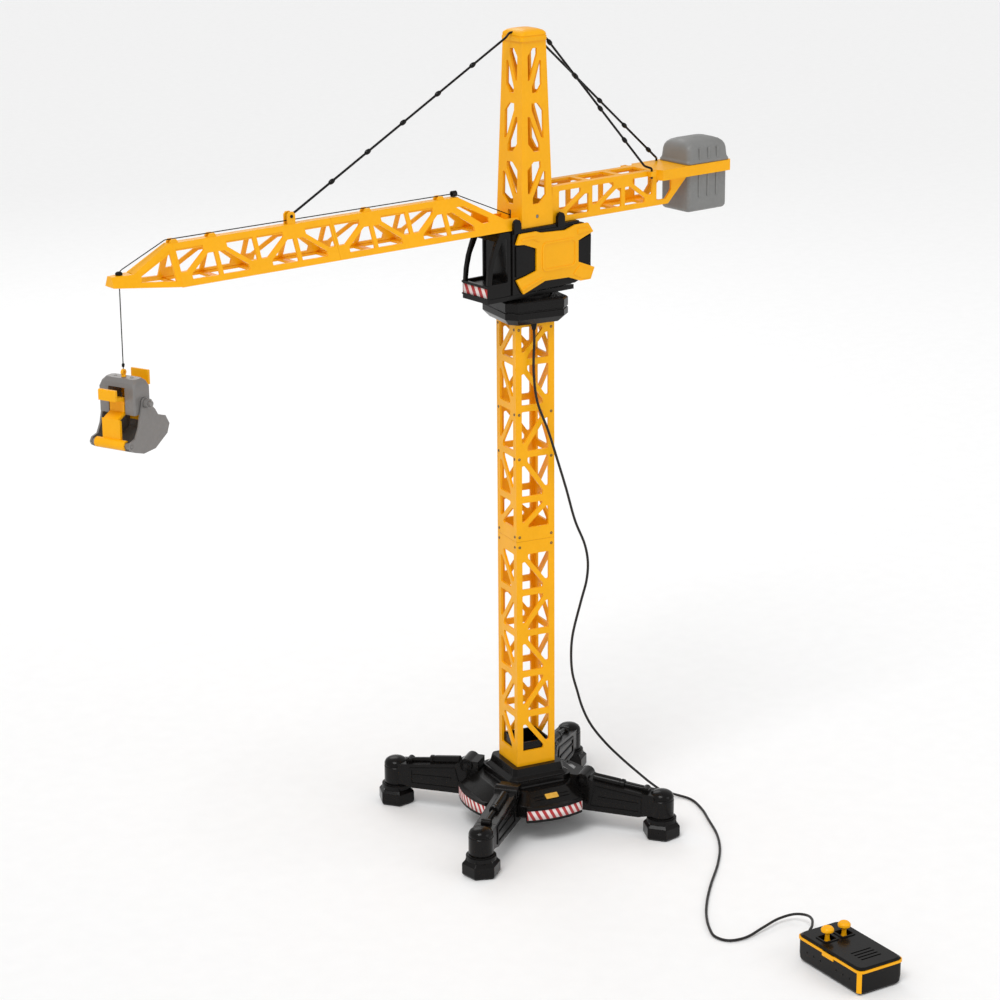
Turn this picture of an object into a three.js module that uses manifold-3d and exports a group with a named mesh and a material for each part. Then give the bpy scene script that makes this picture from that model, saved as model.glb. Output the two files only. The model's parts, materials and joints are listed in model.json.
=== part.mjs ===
// Toy tower crane with a wired handset: a four-legged base, a square lattice mast, a slewing
// cab with tower head, jib and counter-jib, a bucket on a hoist string, and a two-lever handset.
// Millimetres, +Z up. The jib points along -X, and the handset lies on the floor on the -Y side.

import * as THREE from 'three';
import { mergeVertices } from 'three/addons/utils/BufferGeometryUtils.js';
import Module from 'manifold-3d';

const wasm = await Module();
wasm.setup();

// ---------------------------------------------------------------- driving dimensions

const GAP = 0.3;
const WALL = 3;

// The slew axis stands at this place in the frame, so that the whole object is centred on it.
const SLEW_X = 144.5;
const SLEW_Y = 224.5;

// Base and mast are turned a little against the jib.
const MAST_TURN = THREE.MathUtils.degToRad(-12.5);

const LEG_RADIUS = 177;
const FOOT_TOP_Z = 27;
const HUB_BOTTOM_Z = 33;
const HUB_TOP_Z = 62;
const HUB_APOTHEM = 78;
const COLLAR_TOP_Z = 84;
const SPIGOT_TOP_Z = 113;

const MAST_HALF = 26;
const MAST_BOTTOM_Z = 66.5;
const MAST_SEAM_Z = 379;
const MAST_TOP_Z = 656;
const MAST_POST = 8;
const MAST_BAR_HALF = 4;
const BRACE_HALF = 3;

const HOUSING_BOTTOM_Z = 653;
const HOUSING_TOP_Z = 682;
const HOUSING_HALF = 42;

const CAB_BOTTOM_Z = 684;
const CAB_TOP_Z = 764;
const CAB_FRONT_X = -76;
const CAB_BACK_X = 81;
const CAB_HALF = 26.5;
const CABIN_HALF = 24.3;

const FRAME_BOTTOM_Z = 768;
const HEAD_BASE_HALF = 24;
const HEAD_TOP_HALF = 18;
const HEAD_TOP_Z = 986;
const CAP_TOP_Z = 1000;

const JIB_ROOT_X = -24.3;
const JIB_NODE_X = -495;
const JIB_BAY = 104.7;
const JIB_TIP_X = -572;
const JIB_SPLIT_X = JIB_NODE_X + 2 * JIB_BAY;
const JIB_HALF = 24;
const JIB_TOP_HALF = 5;
const JIB_TOP_Z = 813.4;
const CHORD = 6.4;
const LATTICE_BRACE_HALF = 2.6;
const LATTICE_BLUNT = 0.19;

const COUNTER_HALF = 21.8;
const COUNTER_TOP_Z = 812;
const COUNTER_END_X = 209;
const RING_HALF = 29.5;
const RING_START_X = 190;
const RING_END_X = 309;
const RING_BOTTOM_Z = 799;
const WEIGHT_START_X = 239;
const WEIGHT_END_X = 304;
const WEIGHT_HALF = 25.5;

const STRING_X = -560;
const STRING_RADIUS = 0.6;
const GRAB_TOP_Z = 675;
const GRAB_TURN = THREE.MathUtils.degToRad(21);

const HANDSET_X = 10.8;
const HANDSET_Y = -560.5;
const HANDSET_TURN = THREE.MathUtils.degToRad(-6.6);
const HANDSET_HALF_WIDTH = 31;
const HANDSET_HALF_LENGTH = 56;
const HANDSET_TOP_Z = 33;

const CORD_RADIUS = 1.6;

// ---------------------------------------------------------------- materials

const plastic = (color, roughness = 0.45) => ({ color, roughness, metalness: 0 });
const YELLOW = plastic(0xf5b000);
const BLACK = plastic(0x1e1c1b, 0.5);
const GREY = plastic(0x8d8783);
const SILVER = { color: 0x98928d, roughness: 0.4, metalness: 0.5 };
const DARK_CORD = plastic(0x2a2826, 0.6);
const BOARD_GREEN = plastic(0x2f6b3a, 0.6);
const STEEL = { color: 0xb8b8b8, roughness: 0.35, metalness: 1 };
const IRON = { color: 0x5a5856, roughness: 0.6, metalness: 1 };

// ---------------------------------------------------------------- geometry helpers

function makeMesh(name, geometry, look) {
  const mesh = new THREE.Mesh(geometry, new THREE.MeshStandardMaterial(look));
  mesh.name = name;
  return mesh;
}

function toSolid(geometry) {
  const bare = geometry.index ? geometry.toNonIndexed() : geometry.clone();
  bare.deleteAttribute('normal');
  bare.deleteAttribute('uv');
  const merged = mergeVertices(bare, 1e-3);
  return new wasm.Manifold(new wasm.Mesh({
    numProp: 3,
    vertProperties: new Float32Array(merged.attributes.position.array),
    triVerts: new Uint32Array(merged.index.array),
  }));
}

function toGeometry(solid) {
  const mesh = solid.getMesh();
  const geometry = new THREE.BufferGeometry();
  geometry.setAttribute('position', new THREE.BufferAttribute(mesh.vertProperties, 3));
  geometry.setIndex(new THREE.BufferAttribute(mesh.triVerts, 1));
  return geometry;
}

function join(...geometries) {
  return toGeometry(geometries.map(toSolid).reduce((sum, part) => sum.add(part)));
}

function cut(geometry, ...tools) {
  return toGeometry(tools.map(toSolid).reduce((rest, tool) => rest.subtract(tool), toSolid(geometry)));
}

function keep(geometry, tool) {
  return toGeometry(toSolid(geometry).intersect(toSolid(tool)));
}

// A box between two corners.
function block(x0, x1, y0, y1, z0, z1) {
  const geometry = new THREE.BoxGeometry(x1 - x0, y1 - y0, z1 - z0);
  return geometry.translate((x0 + x1) / 2, (y0 + y1) / 2, (z0 + z1) / 2);
}

const shapeOf = (points) => new THREE.Shape(points.map(([x, y]) => new THREE.Vector2(x, y)));

// An outline in the XY plane, raised from z0 to z1, with holes cut right through it.
function prism(points, z0, z1, holes = []) {
  const geometry = new THREE.ExtrudeGeometry(shapeOf(points), { depth: z1 - z0, bevelEnabled: false });
  geometry.translate(0, 0, z0);
  return holes.length ? cut(geometry, ...holes.map((hole) => prism(hole, z0 - 1, z1 + 1))) : geometry;
}

// An outline in the XZ plane, with its thickness from y0 to y1.
function sidePlate(points, y0, y1, holes = []) {
  const geometry = prism(points, 0, y1 - y0, holes);
  return geometry.rotateX(Math.PI / 2).translate(0, y1, 0);
}

// Points on a circle, counter-clockwise.
function circlePoints(radius, count, x = 0, y = 0, phase = 0) {
  return Array.from({ length: count }, (_, i) => {
    const angle = phase + (i * 2 * Math.PI) / count;
    return [x + radius * Math.cos(angle), y + radius * Math.sin(angle)];
  });
}

function rectangle(x0, x1, y0, y1) {
  return [[x0, y0], [x1, y0], [x1, y1], [x0, y1]];
}

function chamferedSquare(half, chamfer) {
  const near = half - chamfer;
  return [[-near, -half], [near, -half], [half, -near], [half, near],
    [near, half], [-near, half], [-half, near], [-half, -near]];
}

// A body turned about the Z axis, from [radius, z] pairs that start and end on the axis.
function turned(profile, segments = 16) {
  const points = profile.map(([radius, z]) => new THREE.Vector2(radius, z));
  return new THREE.LatheGeometry(points, segments).rotateX(Math.PI / 2);
}

// Turns a geometry's Z axis to the given direction and moves it to a place.
function aimed(geometry, place, direction) {
  const turn = new THREE.Quaternion().setFromUnitVectors(
    new THREE.Vector3(0, 0, 1), new THREE.Vector3(...direction).normalize());
  return geometry.applyQuaternion(turn).translate(...place);
}

// A round bar from a to b.
function rod(a, b, radius, sides = 12) {
  const direction = b.map((value, i) => value - a[i]);
  return aimed(prism(circlePoints(radius, sides), 0, Math.hypot(...direction)), a, direction);
}

// A round tube along a smooth curve through the given points.
function tube(points, radius, steps, sides = 8) {
  const curve = new THREE.CatmullRomCurve3(
    points.map((point) => new THREE.Vector3(...point)), false, 'centripetal');
  return new THREE.ExtrudeGeometry(shapeOf(circlePoints(radius, sides)), {
    steps, extrudePath: curve, bevelEnabled: false,
  });
}

// A solid lofted through rings of equal point count, given from the bottom up.
function loft(rings) {
  const count = rings[0].length;
  const positions = [];
  const indices = [];
  for (const ring of rings) {
    for (const point of ring) positions.push(...point);
  }
  for (let level = 0; level < rings.length - 1; level += 1) {
    for (let i = 0; i < count; i += 1) {
      const a = level * count + i;
      const b = level * count + ((i + 1) % count);
      indices.push(a, b, b + count, a, b + count, a + count);
    }
  }
  const top = (rings.length - 1) * count;
  for (let i = 1; i < count - 1; i += 1) {
    indices.push(0, i + 1, i);
    indices.push(top, top + i, top + i + 1);
  }
  const geometry = new THREE.BufferGeometry();
  geometry.setAttribute('position', new THREE.BufferAttribute(new Float32Array(positions), 3));
  geometry.setIndex(indices);
  return geometry;
}

const lifted = (points, z) => points.map(([x, y]) => [x, y, z]);

// A round wire through the given points, with straight runs between them.
function wire(points, radius, sides = 8) {
  const path = points.map((point) => new THREE.Vector3(...point));
  return loft(path.map((point, i) => {
    const before = path[Math.max(i - 1, 0)];
    const after = path[Math.min(i + 1, path.length - 1)];
    const along = after.clone().sub(before).normalize();
    const across = new THREE.Vector3(0, 1, 0).cross(along).normalize();
    const up = along.clone().cross(across);
    return circlePoints(radius, sides).map(([a, b]) => point.clone()
      .addScaledVector(across, a).addScaledVector(up, b).toArray());
  }));
}

// The mirror image across the plane y = 0, with its faces still pointing out.
function mirrored(geometry) {
  const copy = (geometry.index ? geometry.toNonIndexed() : geometry.clone()).scale(1, -1, 1);
  const position = copy.attributes.position;
  for (let i = 0; i < position.count; i += 3) {
    const first = new THREE.Vector3().fromBufferAttribute(position, i);
    const second = new THREE.Vector3().fromBufferAttribute(position, i + 1);
    position.setXYZ(i, ...second.toArray());
    position.setXYZ(i + 1, ...first.toArray());
  }
  return copy;
}

// Moves every point of a geometry by a function of its own place.
function warp(geometry, move) {
  const position = geometry.attributes.position;
  for (let i = 0; i < position.count; i += 1) {
    position.setXYZ(i, ...move(position.getX(i), position.getY(i), position.getZ(i)));
  }
  return geometry;
}

// The two windows beside one diagonal brace in a rectangular panel, with blunted tips. A gusset
// share above 0 cuts the square corner of each window off too.
function braceWindows(x0, x1, z0, z1, falling, half = BRACE_HALF, blunt = 0.12, gusset = 0) {
  const width = x1 - x0;
  const height = z1 - z0;
  const length = Math.hypot(width, height);
  const dx = (half * length) / height;
  const dz = (half * length) / width;
  const mix = ([ax, az], [bx, bz], t) => [ax + t * (bx - ax), az + t * (bz - az)];
  const window = (corner, alongX, alongZ) => [
    ...(gusset ? [mix(corner, alongZ, gusset / 2), mix(corner, alongX, gusset)] : [corner]),
    mix(alongX, corner, blunt), mix(alongX, alongZ, blunt),
    mix(alongZ, alongX, blunt), mix(alongZ, corner, blunt)];
  if (falling) {
    return [window([x1, z1], [x0 + dx, z1], [x1, z0 + dz]),
      window([x0, z0], [x1 - dx, z0], [x0, z1 - dz])];
  }
  return [window([x0, z1], [x1 - dx, z1], [x0, z0 + dz]),
    window([x1, z0], [x0 + dx, z0], [x1, z1 - dz])];
}

// ---------------------------------------------------------------- base

function octagon(apothem) {
  const radius = apothem / Math.cos(Math.PI / 8);
  return circlePoints(radius, 8, 0, 0, Math.PI / 8);
}

const LEG_HALF_WIDTH = 13;
const LEG_ROOT_R = 61;
const LEG_NAMES = ['leg_rear', 'leg_left', 'leg_front', 'leg_right'];
const LEG_ANGLES = [45, 135, 225, 315].map(THREE.MathUtils.degToRad);

function legSlot() {
  const slot = LEG_HALF_WIDTH + GAP;
  return block(LEG_ROOT_R - GAP, HUB_APOTHEM + 20, -slot, slot, 0, COLLAR_TOP_Z);
}

// The square tube that stands inside the foot of the mast.
function mastSpigot() {
  const outer = MAST_HALF - WALL - GAP;
  const inner = outer - WALL;
  const floorZ = MAST_BOTTOM_Z - GAP;
  return cut(block(-outer, outer, -outer, outer, floorZ - 1, SPIGOT_TOP_Z),
    block(-inner, inner, -inner, inner, floorZ + WALL, SPIGOT_TOP_Z + 1));
}

function baseHub() {
  const shoulderZ = 50;
  const body = loft([
    lifted(octagon(HUB_APOTHEM - 3), HUB_BOTTOM_Z),
    lifted(octagon(HUB_APOTHEM), HUB_BOTTOM_Z + 3),
    lifted(octagon(HUB_APOTHEM), shoulderZ),
    lifted(octagon(HUB_APOTHEM - 20), HUB_TOP_Z),
  ]);
  const collar = loft([
    lifted(chamferedSquare(45, 8), HUB_TOP_Z - 2),
    lifted(chamferedSquare(41, 8), HUB_TOP_Z + 9),
    lifted(chamferedSquare(36, 4), HUB_TOP_Z + 12),
    lifted(chamferedSquare(34, 4), COLLAR_TOP_Z),
  ]);
  const hollow = prism(octagon(HUB_APOTHEM - 5), HUB_BOTTOM_Z - 1, shoulderZ - 3);
  const socket = MAST_HALF + GAP;
  const mastSocket = block(-socket, socket, -socket, socket, MAST_BOTTOM_Z - GAP, COLLAR_TOP_Z + 1);
  const slots = LEG_ANGLES.map((angle) => legSlot().rotateZ(angle));
  return join(cut(join(body, collar), hollow, mastSocket, ...slots), mastSpigot());
}

function baseCover() {
  const plate = prism(octagon(HUB_APOTHEM - 5 - GAP), HUB_BOTTOM_Z, HUB_BOTTOM_Z + WALL);
  return cut(plate, ...LEG_ANGLES.map((angle) => legSlot().rotateZ(angle)));
}

// One leg along +X: a tapering arm with a round end, a moulded ram on top and its barrel boss.
function leg() {
  const arm = sidePlate([[LEG_ROOT_R, 27], [150, 26], [163, 29], [LEG_RADIUS, 29],
    [LEG_RADIUS, 56], [160, 57.5], [92, 66], [78, 73], [LEG_ROOT_R, 73]],
  -LEG_HALF_WIDTH, LEG_HALF_WIDTH);
  const end = turned([[0, FOOT_TOP_Z + GAP], [14.6, FOOT_TOP_Z + GAP], [14.6, 52], [10.5, 58], [0, 60]], 14)
    .translate(LEG_RADIUS, 0, 0);
  const barrel = rod([77, -15, 67], [77, 15, 67], 8.5, 12);
  const ramCase = rod([90, 0, 67], [128, 0, 62.6], 5, 8);
  const ramRod = rod([124, 0, 63], [158, 0, 59.5], 2.8, 6);
  const clevis = rod([156, -5, 59], [156, 5, 59], 4.2, 8);
  const pegHole = prism(circlePoints(6 + GAP, 8, LEG_RADIUS, 0), 20, 42);
  const insideHalf = LEG_HALF_WIDTH - WALL;
  const hollow = sidePlate([[LEG_ROOT_R + WALL, 20], [156, 20], [156, 54.5], [92, 63], [78, 70],
    [LEG_ROOT_R + WALL, 70]], -insideHalf, insideHalf);
  return join(cut(join(arm, end), hollow, pegHole), barrel, ramCase, ramRod, clevis);
}

function foot() {
  const hexagon = (radius, z) => lifted(circlePoints(radius, 6), z);
  const pad = loft([hexagon(21.5, 0), hexagon(24, 3), hexagon(24, 16), hexagon(20, 20), hexagon(19, 23.5)]);
  const neck = prism(circlePoints(17, 12), 10, FOOT_TOP_Z);
  const peg = prism(circlePoints(5.8, 8), 20, 41);
  return join(pad, neck, peg);
}

function buildBase() {
  const group = new THREE.Group();
  group.add(makeMesh('base_hub', baseHub(), BLACK));
  group.add(makeMesh('base_cover', baseCover(), BLACK));
  LEG_ANGLES.forEach((angle, i) => {
    const corner = new THREE.Group();
    corner.rotation.z = angle;
    corner.add(makeMesh(LEG_NAMES[i], leg(), BLACK));
    const pad = makeMesh(LEG_NAMES[i].replace('leg', 'foot'), foot(), BLACK);
    pad.position.x = LEG_RADIUS;
    corner.add(pad);
    group.add(corner);
  });
  return group;
}

// ---------------------------------------------------------------- mast

// Windows of one mast face: panels between the bars at the given heights, braced in a zigzag.
function mastWindows(bars, fallingFirst) {
  const inner = MAST_HALF - MAST_POST;
  const windows = [];
  for (let i = 0; i < bars.length - 1; i += 1) {
    const falling = (i % 2 === 0) === fallingFirst;
    const low = bars[i] + MAST_BAR_HALF;
    const high = bars[i + 1] - MAST_BAR_HALF;
    windows.push(...braceWindows(-inner, inner, low, high, falling));
  }
  return windows;
}

// Half of a mast section: two faces that meet at a corner. The halves meet at the other corners.
function mastHalf(z0, z1, bars, fallingFirst) {
  const windows = mastWindows(bars, fallingFirst);
  const face = sidePlate(rectangle(-MAST_HALF, MAST_HALF, z0, z1), -MAST_HALF, -MAST_HALF + WALL, windows);
  const side = sidePlate(rectangle(-MAST_HALF + WALL + GAP, MAST_HALF, z0, z1),
    -MAST_HALF, -MAST_HALF + WALL, windows).rotateZ(-Math.PI / 2);
  return join(face, side);
}

function buildMast() {
  const group = new THREE.Group();
  const lowerBars = [99, 152.4, 205.8, 259.2, 312.6, 366];
  const upperBars = [392, 432, 489.5, 547, 604.5, 652];
  const sections = [['mast_lower', MAST_BOTTOM_Z, MAST_SEAM_Z, lowerBars, true],
    ['mast_upper', MAST_SEAM_Z + GAP, MAST_TOP_Z, upperBars, false]];
  for (const [name, z0, z1, bars, fallingFirst] of sections) {
    const half = mastHalf(z0, z1, bars, fallingFirst);
    group.add(makeMesh(`${name}_front`, half, YELLOW));
    const rear = makeMesh(`${name}_rear`, half.clone(), YELLOW);
    rear.rotation.z = Math.PI;
    group.add(rear);
  }
  return group;
}

// ---------------------------------------------------------------- turntable

const GEAR_MODULE = 1.5;
const GEAR_TEETH = 18;
const PINION_TEETH = 6;
const GEAR_CENTRES = (GEAR_MODULE * (GEAR_TEETH + PINION_TEETH)) / 2 + 0.2;
const BORE_BOTTOM_Z = 662;
const GEAR_BOTTOM_Z = 664;
const GEAR_TOP_Z = 669;

function gearOutline(teeth, phase) {
  const pitchRadius = (GEAR_MODULE * teeth) / 2;
  const root = pitchRadius - 1.0 * GEAR_MODULE;
  const tip = pitchRadius + 0.7 * GEAR_MODULE;
  const step = (2 * Math.PI) / teeth;
  const points = [];
  for (let i = 0; i < teeth; i += 1) {
    const middle = phase + i * step;
    for (const [share, radius] of [[-0.26, root], [-0.08, tip], [0.08, tip], [0.26, root]]) {
      points.push([radius * Math.cos(middle + share * step), radius * Math.sin(middle + share * step)]);
    }
  }
  return points;
}

function turntableHousing() {
  const chamfer = 11;
  const grooveRings = (z) => [[0, -1.2], [0.9, -0.6], [0.9, 0.6], [0, 1.2]]
    .map(([inset, dz]) => lifted(chamferedSquare(HOUSING_HALF - inset, chamfer), z + dz));
  const body = loft([
    lifted(chamferedSquare(HOUSING_HALF - 7, chamfer - 2), HOUSING_BOTTOM_Z),
    lifted(chamferedSquare(HOUSING_HALF, chamfer), HOUSING_BOTTOM_Z + 8),
    ...grooveRings(669.5),
    lifted(chamferedSquare(HOUSING_HALF, chamfer), HOUSING_TOP_Z - 1.5),
    lifted(chamferedSquare(HOUSING_HALF - 1.5, chamfer), HOUSING_TOP_Z),
  ]);
  const bore = prism(circlePoints(32, 32), BORE_BOTTOM_Z, HOUSING_TOP_Z + 1);
  const socket = MAST_HALF + GAP;
  const outer = block(-socket, socket, -socket, socket, HOUSING_BOTTOM_Z - 1, MAST_TOP_Z + GAP);
  const inner = MAST_HALF - WALL - GAP;
  const spigot = block(-inner, inner, -inner, inner, HOUSING_BOTTOM_Z - 1, MAST_TOP_Z + 3);
  const spigotBore = block(-18, 18, -18, 18, HOUSING_BOTTOM_Z - 2, MAST_TOP_Z);
  return join(cut(body, bore, outer), cut(spigot, spigotBore));
}

// The fixed gear; its teeth are set so that one meets the pinion when the jib is at rest.
function slewGear() {
  const wheel = prism(gearOutline(GEAR_TEETH, -MAST_TURN), GEAR_BOTTOM_Z, GEAR_TOP_Z);
  const foot = BORE_BOTTOM_Z + GAP;
  const post = turned([[0, foot], [5, foot], [5, 672], [0, 672]], 12);
  return join(wheel, post);
}

function slewPinion() {
  const wheel = prism(gearOutline(PINION_TEETH, Math.PI / PINION_TEETH), GEAR_BOTTOM_Z, GEAR_TOP_Z);
  const shaft = turned([[0, GEAR_TOP_Z - 1], [1.5, GEAR_TOP_Z - 1], [1.5, 689.7], [0, 689.7]], 10);
  return join(wheel, shaft);
}

const CORD_EXIT_X = -4;
const CORD_EXIT_Y = -31.2;
const CORD_EXIT_Z = 645;

// The grommet that the control cord leaves by, in the underside of the turntable housing.
function cordGland() {
  const top = HOUSING_BOTTOM_Z - GAP;
  return turned([[0, CORD_EXIT_Z], [2.4, CORD_EXIT_Z], [3.5, top - 2], [3.5, top], [0, top]], 12)
    .translate(CORD_EXIT_X, CORD_EXIT_Y, 0);
}

function buildTurntable() {
  const group = new THREE.Group();
  group.add(makeMesh('turntable_housing', turntableHousing(), BLACK));
  group.add(makeMesh('slew_gear', slewGear(), GREY));
  group.add(makeMesh('cord_gland', cordGland(), BLACK));
  return group;
}

// ---------------------------------------------------------------- cab

const SILL_TOP_Z = 690;
const CABIN_BACK_X = -40.5;

function cabFloor() {
  const tray = prism(rectangle(CAB_FRONT_X, 56, -24, 24), CAB_BOTTOM_Z + GAP, SILL_TOP_Z - GAP);
  const boss = prism(circlePoints(31, 28), BORE_BOTTOM_Z + GAP, CAB_BOTTOM_Z + 1);
  const bossBore = prism(circlePoints(26, 28), BORE_BOTTOM_Z, CAB_BOTTOM_Z + 2);
  const pinionHole = prism(circlePoints(2.2, 10, -GEAR_CENTRES, 0), 672, SILL_TOP_Z + 1);
  return cut(join(tray, cut(boss, bossBore)), pinionHole);
}

function cabShell() {
  const outline = [[CABIN_BACK_X + GAP, SILL_TOP_Z], [56, SILL_TOP_Z + 2], [74, 698], [CAB_BACK_X, 709],
    [CAB_BACK_X, 750], [70, CAB_TOP_Z], [CABIN_BACK_X + GAP, CAB_TOP_Z]];
  const body = sidePlate(outline, -CAB_HALF, CAB_HALF);
  const inside = CAB_HALF - 2.5;
  const hollow = block(CABIN_BACK_X + WALL, 52, -inside, inside, SILL_TOP_Z - 5, CAB_TOP_Z - WALL);
  const hollowRear = block(50, CAB_BACK_X - 4, -inside, inside, 712, 748);
  return cut(body, hollow, hollowRear);
}

// The open driver's cabin: four pillars, a floor, a roof and a back wall, glazed nowhere.
function cabin() {
  const outline = [[CAB_FRONT_X, SILL_TOP_Z], [CAB_FRONT_X, 703], [-74.5, 720], [-71, 736], [-65, 752],
    [-57, 767], [CABIN_BACK_X, 767], [CABIN_BACK_X, SILL_TOP_Z]];
  const half = CABIN_HALF;
  const body = sidePlate(outline, -half, half);
  const roomHalf = half - 3.5;
  const room = sidePlate([[-73, 704], [-71, 722], [-67, 738], [-60, 753], [-54, 763], [-44, 763],
    [-44, 704]], -roomHalf, roomHalf);
  const sideWindow = sidePlate([[-70, 707], [-68, 722], [-64, 737], [-57, 751], [-53, 759], [-46, 759],
    [-46, 707]], -half - 1, half + 1);
  const frontWindow = block(CAB_FRONT_X - 2, -50, -19.5, 19.5, 706, 757);
  return cut(body, room, sideWindow, frontWindow);
}

// The black deck under the yellow frames, with four upright clips that hold the frames.
function cabDeck() {
  const plate = block(-40.2, 62, -26.8, 26.8, CAB_TOP_Z + GAP, FRAME_BOTTOM_Z - GAP);
  const clip = (x, side) => {
    const y0 = side > 0 ? 24.4 : -29;
    return sidePlate([[x - 5.5, CAB_TOP_Z + GAP], [x + 5.5, CAB_TOP_Z + GAP], [x + 5.5, 776],
      [x + 3.5, 780], [x, 781.5], [x - 3.5, 780], [x - 5.5, 776]], y0, y0 + 4.6);
  };
  return join(plate, clip(-34, 1), clip(-34, -1), clip(33, 1), clip(33, -1));
}

// The yellow side cover: a broad X-shaped panel with a cut-back front and rear.
function cabSide() {
  return sidePlate([[-26.6, 690.3], [7, 702], [43, 701], [62, 694], [78, 694], [84, 708], [58.6, 718],
    [58.6, 744], [82, 752], [74, 763.5], [54, 763.5], [38, 759], [1, 761], [-6, 763.5], [-32, 763.5],
    [-37, 751], [-25, 750], [-6.5, 743], [-6.5, 716], [-25, 711], [-37, 708.5]],
  -CAB_HALF - 3.8, -CAB_HALF - GAP);
}

function buildCab() {
  const group = new THREE.Group();
  group.add(makeMesh('cab_floor', cabFloor(), BLACK));
  group.add(makeMesh('cab_shell', cabShell(), BLACK));
  group.add(makeMesh('cabin', cabin(), BLACK));
  group.add(makeMesh('cab_deck', cabDeck(), BLACK));
  group.add(makeMesh('cab_side_left', cabSide(), YELLOW));
  group.add(makeMesh('cab_side_right', mirrored(cabSide()), YELLOW));

  const slewMotor = turned([[0, 690], [10, 690], [10, 715], [4, 715], [4, 717], [0, 717]], 16);
  const motor = makeMesh('slew_motor', slewMotor, STEEL);
  motor.position.x = -GEAR_CENTRES;
  group.add(motor);
  group.add(makeMesh('hoist_motor', rod([26, -16, 701.2], [26, 16, 701.2], 11, 16), STEEL));
  const pinion = makeMesh('slew_pinion', slewPinion(), STEEL);
  pinion.position.x = -GEAR_CENTRES;
  group.add(pinion);
  return group;
}

// ---------------------------------------------------------------- tower head

const DRUM_Z = 780;
const DRUM_RADIUS = 6;

const headHalf = (z) => HEAD_BASE_HALF
  + ((z - FRAME_BOTTOM_Z) * (HEAD_TOP_HALF - HEAD_BASE_HALF)) / (HEAD_TOP_Z - FRAME_BOTTOM_Z);

// One tapered face of the head, leaning with the taper, before it is turned to its side.
function headFace(firstFalling, extra = []) {
  const post = 9;
  const windows = [];
  [[795, 845], [857, 914], [926, 978]].forEach(([z0, z1], i) => {
    const inner = headHalf((z0 + z1) / 2) - post;
    windows.push(...braceWindows(-inner, inner, z0, z1, (i % 2 === 0) === firstFalling, 2.8, 0.16, 0.4));
  });
  const outline = [[-HEAD_BASE_HALF, FRAME_BOTTOM_Z], [HEAD_BASE_HALF, FRAME_BOTTOM_Z],
    [HEAD_TOP_HALF, HEAD_TOP_Z], [-HEAD_TOP_HALF, HEAD_TOP_Z]];
  const plate = sidePlate(outline, 0, WALL, [...windows, ...extra]);
  return warp(plate, (x, y, z) => [x, y - headHalf(z), z]);
}

function towerHead() {
  const axleHole = circlePoints(2.4, 12, 0, DRUM_Z);
  const stringSlot = rectangle(-3, 3, 776, 788);
  const near = headFace(false, [axleHole]);
  const front = headFace(true, [stringSlot]).rotateZ(-Math.PI / 2);
  const far = headFace(false, [axleHole]).rotateZ(Math.PI);
  const rear = headFace(true).rotateZ(Math.PI / 2);
  return join(near, front, far, rear);
}

function headCap() {
  const half = HEAD_TOP_HALF + 1.6;
  const ring = (inset, chamfer, z) => lifted(chamferedSquare(half - inset, chamfer), z);
  const cap = loft([ring(0, 3, HEAD_TOP_Z + GAP), ring(0, 3, 993), ring(1.2, 4, 997), ring(4, 5, 999.3),
    ring(9, 5, CAP_TOP_Z)]);
  const eyes = HEAD_EYES.map(([side, y, z]) => rod([side * (half + 2), y, z], [side * (half - 6), y, z],
    EYE_RADIUS, 10));
  return cut(cap, ...eyes);
}

function winchDrum() {
  const half = HEAD_BASE_HALF - WALL - 1.5;
  const profile = [[0, -half - 4], [2, -half - 4], [2, -half], [9.5, -half], [9.5, -half + 2],
    [DRUM_RADIUS, -half + 2], [DRUM_RADIUS, half - 2], [9.5, half - 2], [9.5, half], [2, half],
    [2, half + 4], [0, half + 4]];
  return turned(profile, 12).rotateX(Math.PI / 2).translate(0, 0, DRUM_Z);
}

function buildHead() {
  const group = new THREE.Group();
  group.add(makeMesh('tower_head', towerHead(), YELLOW));
  group.add(makeMesh('head_cap', headCap(), YELLOW));
  group.add(makeMesh('winch_drum', winchDrum(), GREY));
  return group;
}

// ---------------------------------------------------------------- jib

const JIB_LEAN = (JIB_HALF - JIB_TOP_HALF) / (JIB_TOP_Z - FRAME_BOTTOM_Z);
const TIP_NARROWING = 0.151;
const TIP_BOTTOM_Z = 775.5;
const TIP_TOP_Z = 787;
const TIP_BLOCK_X = -546;
const TALL_LUG_X = JIB_NODE_X + 1.5 * JIB_BAY;
const STAY_HOOK_Z = 822;

const jibHalf = (z) => JIB_HALF - JIB_LEAN * (z - FRAME_BOTTOM_Z);
const tipHalf = (x, z) => jibHalf(z) - TIP_NARROWING * (JIB_NODE_X + 2 - x);

// An outline in the YZ plane, run along X from x0 to x1.
function crossPlate(points, x0, x1, holes = []) {
  return prism(points, 0, x1 - x0, holes).rotateX(Math.PI / 2).rotateZ(Math.PI / 2).translate(x0, 0, 0);
}

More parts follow.
